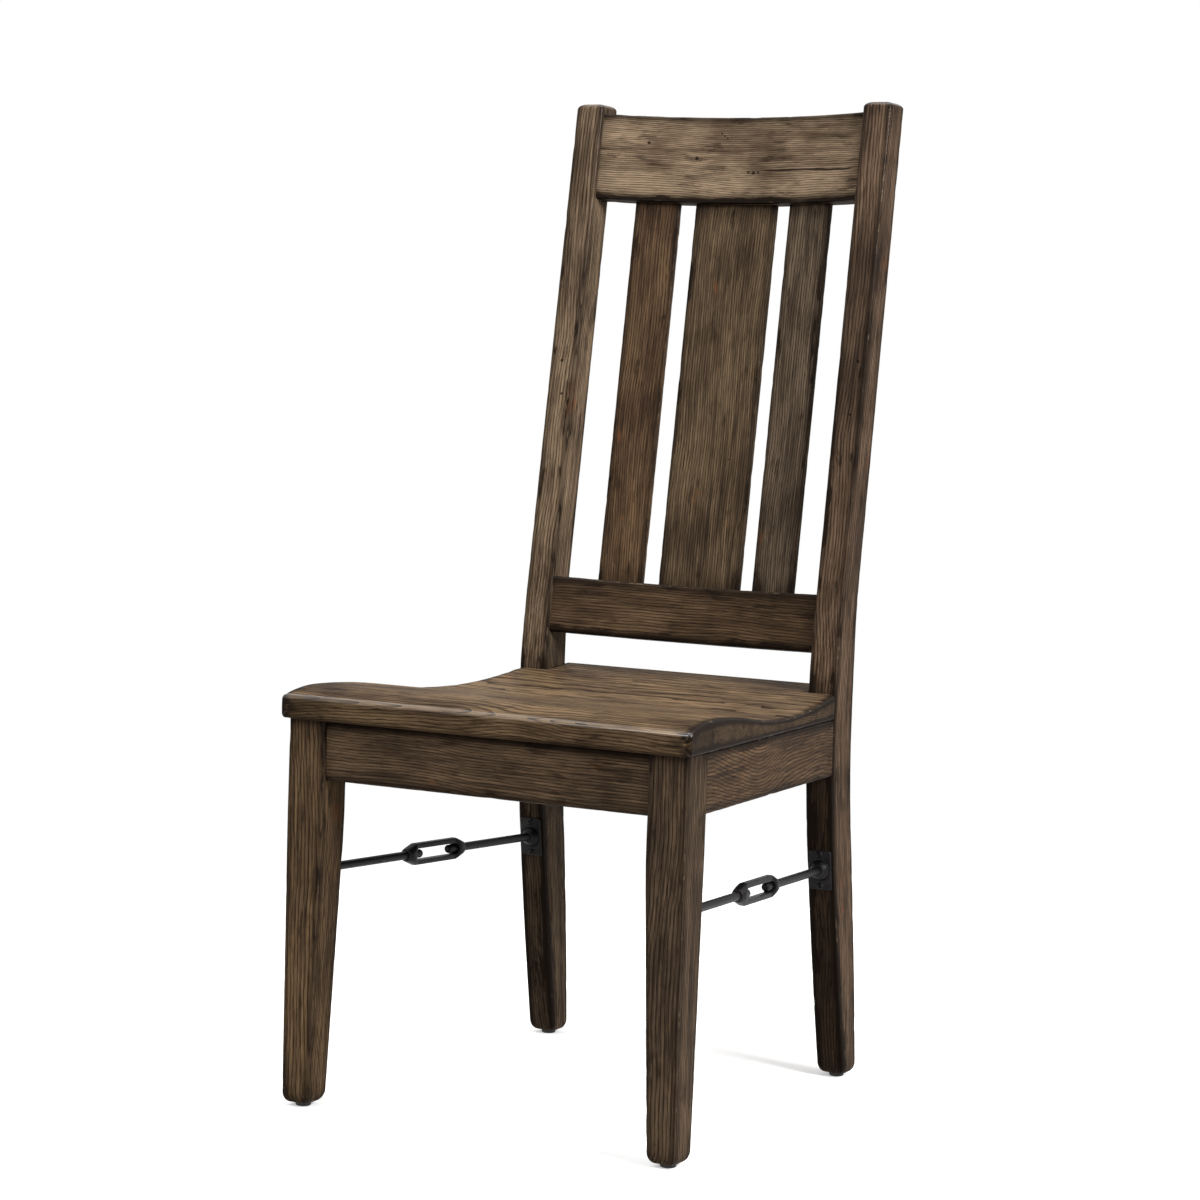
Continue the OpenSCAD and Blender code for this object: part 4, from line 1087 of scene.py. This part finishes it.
def eased(piece, width, limit=38, edge_angle=16, sharp=35):
    """Rounds a metal piece's edges, and marks the points that lie on them."""
    bevel = piece.modifiers.new("ease", "BEVEL")
    bevel.width, bevel.segments, bevel.limit_method = width, 2, "ANGLE"
    bevel.angle_limit, bevel.use_clamp_overlap = math.radians(limit), True
    settle(piece)
    shape = bmesh.new()
    shape.from_mesh(piece.data)
    near = [(float(any(len(e.link_faces) == 2 and e.calc_face_angle(0) > math.radians(edge_angle)
                       for e in v.link_edges)), 0.0, 0.0) for v in shape.verts]
    shape.free()
    add_vectors(piece.data, "look", near)
    piece.data.shade_smooth()
    piece.data.set_sharp_from_angle(angle=math.radians(sharp))


def each_corner(places):
    """Side, end, ending of its names and place of the piece at each corner of the chair."""
    for side, name in SIDES:
        for end, place in places.items():
            yield side, end, "_%s_%s" % (end, name), place


def along_z(distance):
    return Matrix.Translation((0, 0, distance))


def rod_frame(c):
    """Z along the rod from the right front leg to the rear post, Y inward and X down."""
    z = (c.rod_rear - c.rod_front).normalized()
    y = Vector((-z.y, z.x, 0)).normalized()
    y = -y if y.x > 0 else y
    return Matrix.Translation(c.rod_front) @ Matrix((y.cross(z), y, z)).transposed().to_4x4()


def plate_frames(c):
    """Frames of the front and the rear plate of the right side, Z out of the wood."""
    front = Matrix.Translation(c.rod_front) @ Matrix.Rotation(-math.pi / 2 - c.front_tilt, 4, "X")
    rear = Matrix.Translation(c.rod_rear) @ Matrix.Rotation(math.pi / 2 + c.rear_tilt, 4, "X")
    return {"front": front, "rear": rear}


class Rods(bpy.types.Operator):
    """Builds the four stretcher rods with their rounded tips"""
    bl_idname = "chair.rods"
    bl_label = "Stretcher rods"

    def execute(self, context):
        s, c = measured(context)
        material = iron("iron_rods", 0.3)
        r, tip, chamfer, ring_step = s.rod_d / 2, 0.003, 0.0006, 0.02
        shank = [(r, z) for z in steps(chamfer, c.rod_l - tip, ring_step)]
        rounding = [(r - tip * (1 - math.cos(t)), c.rod_l - tip * (1 - math.sin(t)))
                    for t in quarter(7)]
        profile = [(r - chamfer, 0)] + shank + rounding[1:]
        seated = c.socket_from + s.end_gap
        turned_back = Matrix.Rotation(math.pi, 4, "X")
        places = {"front": rod_frame(c) @ along_z(seated),
                  "rear": rod_frame(c) @ along_z(c.rod_span - seated) @ turned_back}
        for side, _, own, at in each_corner(places):
            piece = turned("rod" + own + "_iron", profile, 40, at, side)
            dress(piece, material, "rod" + own, "stretcher_rod" + own)
        return {"FINISHED"}


class Turnbuckles(bpy.types.Operator):
    """Builds the two open turnbuckle bodies"""
    bl_idname = "chair.turnbuckles"
    bl_label = "Turnbuckle bodies"

    def execute(self, context):
        s, c = measured(context)
        material = iron("iron_turnbuckle", 0.9)
        half, reach, tip = s.buckle_l / 2, s.buckle_taper, s.tip_d / 2
        point, shoulder, flare, chamfer, edge_r = 0.006, 0.003, 0.009, 0.001, 0.0006
        coarse, fine = 0.006, 0.0012
        middle = rod_frame(c) @ along_z(c.rod_span / 2)

        def outline(z):
            """Half height, half width and corner radius at a distance from the body's middle."""
            far = abs(z)
            swell = clamp01((half - far) / reach) ** 0.9
            waist = ease((s.window_l / 2 + shoulder - far) / flare)
            wide = min(s.hub_w / 2 - (s.hub_w - s.bar_w) / 2 * waist,
                       tip + (s.hub_w / 2 - tip) * clamp01((half - far) / point))
            return tip + (s.buckle_h / 2 - tip) * swell, wide, wide * (0.86 - 0.36 * waist)

        bar_end = half - reach - coarse
        bars, ends = steps(0, bar_end, coarse), steps(bar_end, half - chamfer, fine)
        places = sorted({round(z, 6) for z in bars + ends})
        places = [-half] + [-z for z in reversed(places) if z > 0] + places + [half]
        rings = []
        for z in places:
            high, wide, r = outline(z)
            inset = chamfer if abs(z) == half else 0.0
            rows = section(-high + inset, high - inset, -wide + inset, wide - inset, r - inset, (2, 1))
            rings.append([middle @ Vector((row[0], row[1], z)) for row in rows])
        slot_high, slot_long, end_flat = s.window_h / 2, s.window_l / 2, 0.0005
        slot = section(-slot_high, slot_high, -slot_long, slot_long, slot_high - end_flat, (1, 1), 9)
        window = [[middle @ Vector((row[0], y, row[1])) for row in slot]
                  for y in (-s.hub_w, s.hub_w)]
        bore = [(s.rod_d / 2 + 2 * s.rod_gap, z) for z in (-s.buckle_l, s.buckle_l)]
        for side, name in SIDES:
            piece = stacked("turnbuckle_%s_iron" % name, rings, side)
            joined(piece, stacked("slot", window, side), "DIFFERENCE")
            joined(piece, turned("bore", bore, 40, middle, side), "DIFFERENCE")
            eased(piece, edge_r)
            dress(piece, material, "turnbuckle_body_" + name, "turnbuckle_" + name)
        return {"FINISHED"}


class Plates(bpy.types.Operator):
    """Builds the four iron plates with their domed sockets"""
    bl_idname = "chair.plates"
    bl_label = "Iron plates"

    def execute(self, context):
        s, c = measured(context)
        material = iron("iron_plates", 1.7)
        rods = rod_frame(c)
        rod_r, corner_r, edge_r = s.rod_d / 2, 0.002, 0.0004
        # the plate's rings by height and inset, the collar's by distance from the rod and the mouth
        chamfered = ((0, 0), (s.plate_t - 0.0008, 0), (s.plate_t - 0.0002, 0.0003), (s.plate_t, 0.0009))
        collar = ((0.0022, -0.004), (0.0022, -0.0012), (0.0016, -0.0003), (0.0008, 0))
        skirt_out, skirt_low, skirt_up = 0.0012, s.plate_t - 0.001, 0.0022
        skirt = [(s.boss_r + skirt_out * (1 - t) ** 2, skirt_low + skirt_up * t)
                 for t in (0, 0.25, 0.5, 0.75)]
        dome = [(s.boss_r * math.cos(t), s.boss_r * math.sin(t))
                for t in np.linspace(0.24, math.pi / 2 - 0.03, 14)]
        mouth, bore_end = c.socket_from + s.socket_depth, s.boss_r + 0.02
        for side, end, own, at in each_corner(plate_frames(c)):
            rings = []
            for z, inset in chamfered:
                w, h = s.plate_w / 2 - inset, s.plate_h / 2 - inset
                rows = section(-w, w, -h, h, corner_r, (1, 2))
                rings.append([at @ Vector((row[0], row[1], z)) for row in rows])
            piece = stacked("plate" + own + "_iron", rings, side)
            joined(piece, turned("dome", skirt + dome, 48, at, side), "UNION")
            sign, mouth_at, bored = 1, mouth, (c.socket_from, bore_end)
            if end == "rear":
                sign, mouth_at = -1, c.rod_span - mouth
                bored = (c.rod_span - bore_end, c.rod_span - c.socket_from)
            profile = [(rod_r + out, sign * z) for out, z in collar]
            joined(piece, turned("collar", profile, 48, rods @ along_z(mouth_at), side), "UNION")
            bore = [(rod_r + 2 * s.rod_gap, z) for z in bored]
            joined(piece, turned("bore", bore, 40, rods, side), "DIFFERENCE")
            eased(piece, edge_r)
            dress(piece, material, FRAME_BODY, "stretcher_plate" + own)
        return {"FINISHED"}


def screw_tree():
    """A node group that sets one head on every point, along its axis and with a turn of its own."""
    group = bpy.data.node_groups.new("plate_screw_heads", "GeometryNodeTree")
    for name, way, kind in (("Geometry", "INPUT", "NodeSocketGeometry"),
                            ("Head", "INPUT", "NodeSocketObject"),
                            ("Material", "INPUT", "NodeSocketMaterial"),
                            ("Geometry", "OUTPUT", "NodeSocketGeometry")):
        group.interface.new_socket(name, in_out=way, socket_type=kind)
    t = Tree(group)
    given = t.node("NodeGroupInput").outputs
    head = t.node("GeometryNodeObjectInfo", values={"Object": given["Head"]}).outputs["Geometry"]
    points = t.node("GeometryNodeMeshToPoints", values={"Mesh": given["Geometry"]}).outputs["Points"]
    axis = t.node("GeometryNodeInputNamedAttribute", {"data_type": "FLOAT_VECTOR"}, {"Name": "axis"})
    upright = t.node("FunctionNodeAlignRotationToVector", {"axis": "Z"},
                     {"Vector": axis.outputs["Attribute"]}).outputs["Rotation"]
    heads = t.node("GeometryNodeInstanceOnPoints", values={
        "Points": points, "Instance": head, "Rotation": upright}).outputs["Instances"]
    spin = t.node("FunctionNodeRandomValue", values={3: math.pi, "Seed": 5}).outputs[1]
    heads = t.node("GeometryNodeRotateInstances", values={
        "Instances": heads, "Rotation": t.vector(0.0, 0.0, spin)}).outputs["Instances"]
    real = t.node("GeometryNodeRealizeInstances", values={"Geometry": heads}).outputs["Geometry"]
    dressed = t.node("GeometryNodeSetMaterial", values={
        "Geometry": real, "Material": given["Material"]}).outputs["Geometry"]
    t.node("NodeGroupOutput", values={"Geometry": dressed})
    return group


class PlateScrews(bpy.types.Operator):
    """Sets the eight round-headed screws on the plates"""
    bl_idname = "chair.plate_screws"
    bl_label = "Plate screws"

    def execute(self, context):
        s, c = measured(context)
        material = iron("iron_screws", 2.6)
        r, high = s.screw_head_d / 2, s.screw_head_h
        ball = (r * r + high * high) / (2 * high)
        recess_r, recess, sunk, blend = 0.0019, 0.0012, 0.0004, 0.0004
        arcs = [(ball * math.sin(t), high - ball + ball * math.cos(t))
                for t in np.linspace(math.asin(r / ball), math.asin(recess_r / ball), 8)]
        lip = arcs[-1][1]
        profile = [(r - sunk, -sunk), (r, 0)] + arcs[1:] + [
            (recess_r * 0.82, lip - recess * 0.5), (recess_r * 0.6, lip - recess)]

        def cross(radius, turn):
            """Draws the recess in between the four arms of its cross."""
            inside = band(radius, recess_r + blend, recess_r - blend, 0.42)
            return radius * (1 - inside * abs(math.sin(2 * turn)))

        head = turned("screw_head", profile, 32, Matrix.Identity(4), shape=cross, sharp=30)
        places, axes = [], []
        for side, _, _, at in each_corner(plate_frames(c)):
            out = at.to_3x3() @ Vector((0, 0, 1))
            for up in (-s.screw_pitch / 2, s.screw_pitch / 2):
                spot = at @ Vector((0, up, s.plate_t))
                places.append((side * spot.x, spot.y, spot.z))
                axes.append((side * out.x, out.y, out.z))
        mesh = bpy.data.meshes.new("plate_screws_iron")
        mesh.from_pydata(places, [], [])
        add_vectors(mesh, "axis", axes)
        screws = bpy.data.objects.new("plate_screws_iron", mesh)
        context.scene.collection.objects.link(screws)
        heads = screws.modifiers.new("heads", "NODES")
        heads.node_group = screw_tree()
        keys = {item.name: item.identifier for item in heads.node_group.interface.items_tree
                if item.in_out == "INPUT"}
        heads[keys["Head"]], heads[keys["Material"]] = head, material
        settle(screws)
        if len(screws.data.polygons) != len(places) * len(head.data.polygons):
            raise RuntimeError("a screw head is missing")
        bpy.data.meshes.remove(head.data)
        dress(screws, material, FRAME_BODY, "plate_screws")
        return {"FINISHED"}


class Glides(bpy.types.Operator):
    """Builds the four round foot glides"""
    bl_idname = "chair.glides"
    bl_label = "Foot glides"

    def execute(self, context):
        s, c = measured(context)
        material = plastic("glide_black")
        r, high, rim = s.glide_d / 2, s.glide_h, 0.0014
        profile = [(r - rim + rim * math.sin(t), rim - rim * math.cos(t)) for t in quarter(6)]
        profile += [(r - inset, high - below)
                    for inset, below in ((0, 0.0008), (0.0006, 0.0003), (0.0012, 0))]
        spots = {
            "front": (s.front_w / 2 - (s.leg_w - c.taper_in(high)) / 2, s.leg_d / 2),
            "rear": (s.rear_w / 2 - s.post_w / 2 + c.post_out(high), c.post_y(high))}
        for side, _, own, (x, y) in each_corner(spots):
            at = Matrix.Translation((x, y - c.middle_y, 0))
            piece = turned("glide" + own + "_black", profile, 48, at, side)
            dress(piece, material, FRAME_BODY, "foot_glide" + own)
        return {"FINISHED"}


class HiddenPieces(bpy.types.Operator):
    """Gives the corner blocks and hidden screws of the CAD frame their materials"""
    bl_idname = "chair.hidden_pieces"
    bl_label = "Hidden pieces"

    def execute(self, context):
        blocks, screws = block_wood("block_wood"), steel("screw_steel")
        for name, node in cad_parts.items():
            if name.startswith("corner_block") or name == "seat_screws":
                node.data.materials.clear()
                node.data.materials.append(screws if name.endswith("screws") else blocks)
        return {"FINISHED"}


def seen_directly(t):
    """1 for camera, glossy and transmission rays, which see the white studio, else 0."""
    path = t.node("ShaderNodeLightPath").outputs
    seen = t.maths("MAXIMUM", path["Is Camera Ray"], path["Is Glossy Ray"])
    return t.maths("MAXIMUM", seen, path["Is Transmission Ray"])


def floor_paper(look):
    """Pale paper that keeps the chair's shadow, lifted to white where the camera sees it and duller
    for what it throws back, and plain white far from the chair."""
    near, far = 0.7, 2.2
    t = material_tree("floor_paper")
    seen = seen_directly(t)
    mottle = t.noise(t.place(), scale=3.0, detail=2.0)
    paper = t.mix(mottle, look.floor, [0.985 * c for c in look.floor])
    paper = t.mix(seen, look.floor_bounce, paper)
    diffuse = t.node("ShaderNodeBsdfDiffuse", values={"Color": paper, "Roughness": 0.6})
    lift = t.node("ShaderNodeEmission", values={"Strength": seen * look.floor_lift})
    lit = t.node("ShaderNodeAddShader", values={0: diffuse.outputs[0], 1: lift.outputs[0]})
    white = t.node("ShaderNodeEmission", values={"Strength": 1.0})
    x, y, z = t.parts(t.place())
    away = (x * x + y * y).root().rise(near, far) * seen
    mixed = t.node("ShaderNodeMixShader", values={0: away, 1: lit.outputs[0], 2: white.outputs[0]})
    t.node("ShaderNodeOutputMaterial", values={"Surface": mixed.outputs[0]})
    return t.owner


def studio_world(look):
    """White where it is seen directly, and soft grey light on everything."""
    world = bpy.data.worlds.new("studio")
    world.use_nodes = True
    t = Tree(world)
    white = t.node("ShaderNodeBackground", values={"Color": (1, 1, 1, 1)})
    grey = t.node("ShaderNodeBackground", values={"Color": (*look.sky, 1), "Strength": look.sky_level})
    mixed = t.node("ShaderNodeMixShader", values={
        0: seen_directly(t), 1: grey.outputs[0], 2: white.outputs[0]})
    t.node("ShaderNodeOutputWorld", values={"Surface": mixed.outputs[0]})
    return world


def camera_turn(look):
    """Rotation of the camera from its yaw, its pitch and its roll."""
    forward = Vector((-math.sin(look.yaw) * math.cos(look.pitch),
                      math.cos(look.yaw) * math.cos(look.pitch), -math.sin(look.pitch)))
    right = Vector((math.cos(look.yaw), math.sin(look.yaw), 0))
    up = right.cross(forward)
    rolled_right = right * math.cos(look.roll) + up * math.sin(look.roll)
    rolled_up = up * math.cos(look.roll) - right * math.sin(look.roll)
    return Matrix((rolled_right, rolled_up, -forward)).transposed().to_4x4()


class Stage(bpy.types.Operator):
    """Sets up the camera, the pale floor and the soft studio light"""
    bl_idname = "chair.stage"
    bl_label = "Stage"

    def execute(self, context):
        look = context.scene.chair_stage
        scene = context.scene
        camera = bpy.data.cameras.new("camera")
        camera.sensor_width, camera.clip_end = 36.0, 100.0
        camera.lens = look.focal * camera.sensor_width / look.photo_w
        camera.shift_x, camera.shift_y = look.shift
        eye = bpy.data.objects.new("camera", camera)
        scene.collection.objects.link(eye)
        eye.matrix_world = Matrix.Translation(look.camera_at) @ camera_turn(look)
        scene.camera = eye

        mesh = bpy.data.meshes.new("floor")
        far, below = 30.0, 0.0002
        corners = [(-far, -far, 0), (far, -far, 0), (far, far, 0), (-far, far, 0)]
        mesh.from_pydata(corners, [], [(0, 1, 2, 3)])
        mesh.materials.append(floor_paper(look))
        floor = bpy.data.objects.new("floor", mesh)
        scene.collection.objects.link(floor)
        floor.location.z = -below
        scene.world = studio_world(look)

        for name, place, target_z, size, power in (
                ("key", (3.0, -0.7, 2.4), 0.75, 1.3, look.key),
                ("fill", (-0.9, -2.9, 3.1), 0.9, 1.6, look.fill),
                ("top", (0.1, 0.1, 3.2), 0.6, 1.8, look.top)):
            light = bpy.data.lights.new(name, "AREA")
            light.shape, light.size, light.energy = "SQUARE", size, power
            lamp = bpy.data.objects.new(name, light)
            scene.collection.objects.link(lamp)
            lamp.location = place
            toward = Vector((0, 0, target_z)) - lamp.location
            lamp.rotation_euler = toward.to_track_quat("-Z", "Y").to_euler()
        scene.view_settings.view_transform = "Standard"
        return {"FINISHED"}


PIECES = (FrontLegs, RearPosts, Seat, BackRails, Slats, Aprons, Rods, Turnbuckles, Plates, PlateScrews,
          Glides, HiddenPieces, Stage)
GROUPS = {"chair_sizes": ChairSizes, "chair_oak": OakLook, "chair_iron": IronLook,
          "chair_stage": StageLook}


class ChairPanel(bpy.types.Panel):
    """Lists the steps that build the chair"""
    bl_idname = "CHAIR_PT_build"
    bl_label = "Slat back dining chair"
    bl_space_type = "VIEW_3D"
    bl_region_type = "UI"
    bl_category = "Chair"

    def draw(self, context):
        for piece in PIECES:
            self.layout.operator(piece.bl_idname)


def register():
    for name, group in GROUPS.items():
        bpy.utils.register_class(group)
        setattr(bpy.types.Scene, name, bpy.props.PointerProperty(type=group))
    for kind in (*PIECES, ChairPanel):
        bpy.utils.register_class(kind)


def unregister():
    for kind in (ChairPanel, *reversed(PIECES)):
        bpy.utils.unregister_class(kind)
    for name, group in reversed(GROUPS.items()):
        delattr(bpy.types.Scene, name)
        bpy.utils.unregister_class(group)


def main():
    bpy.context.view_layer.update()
    register()
    for piece in PIECES:
        group, step = piece.bl_idname.split(".")
        getattr(getattr(bpy.ops, group), step)()


if __name__ == "__main__":
    main()
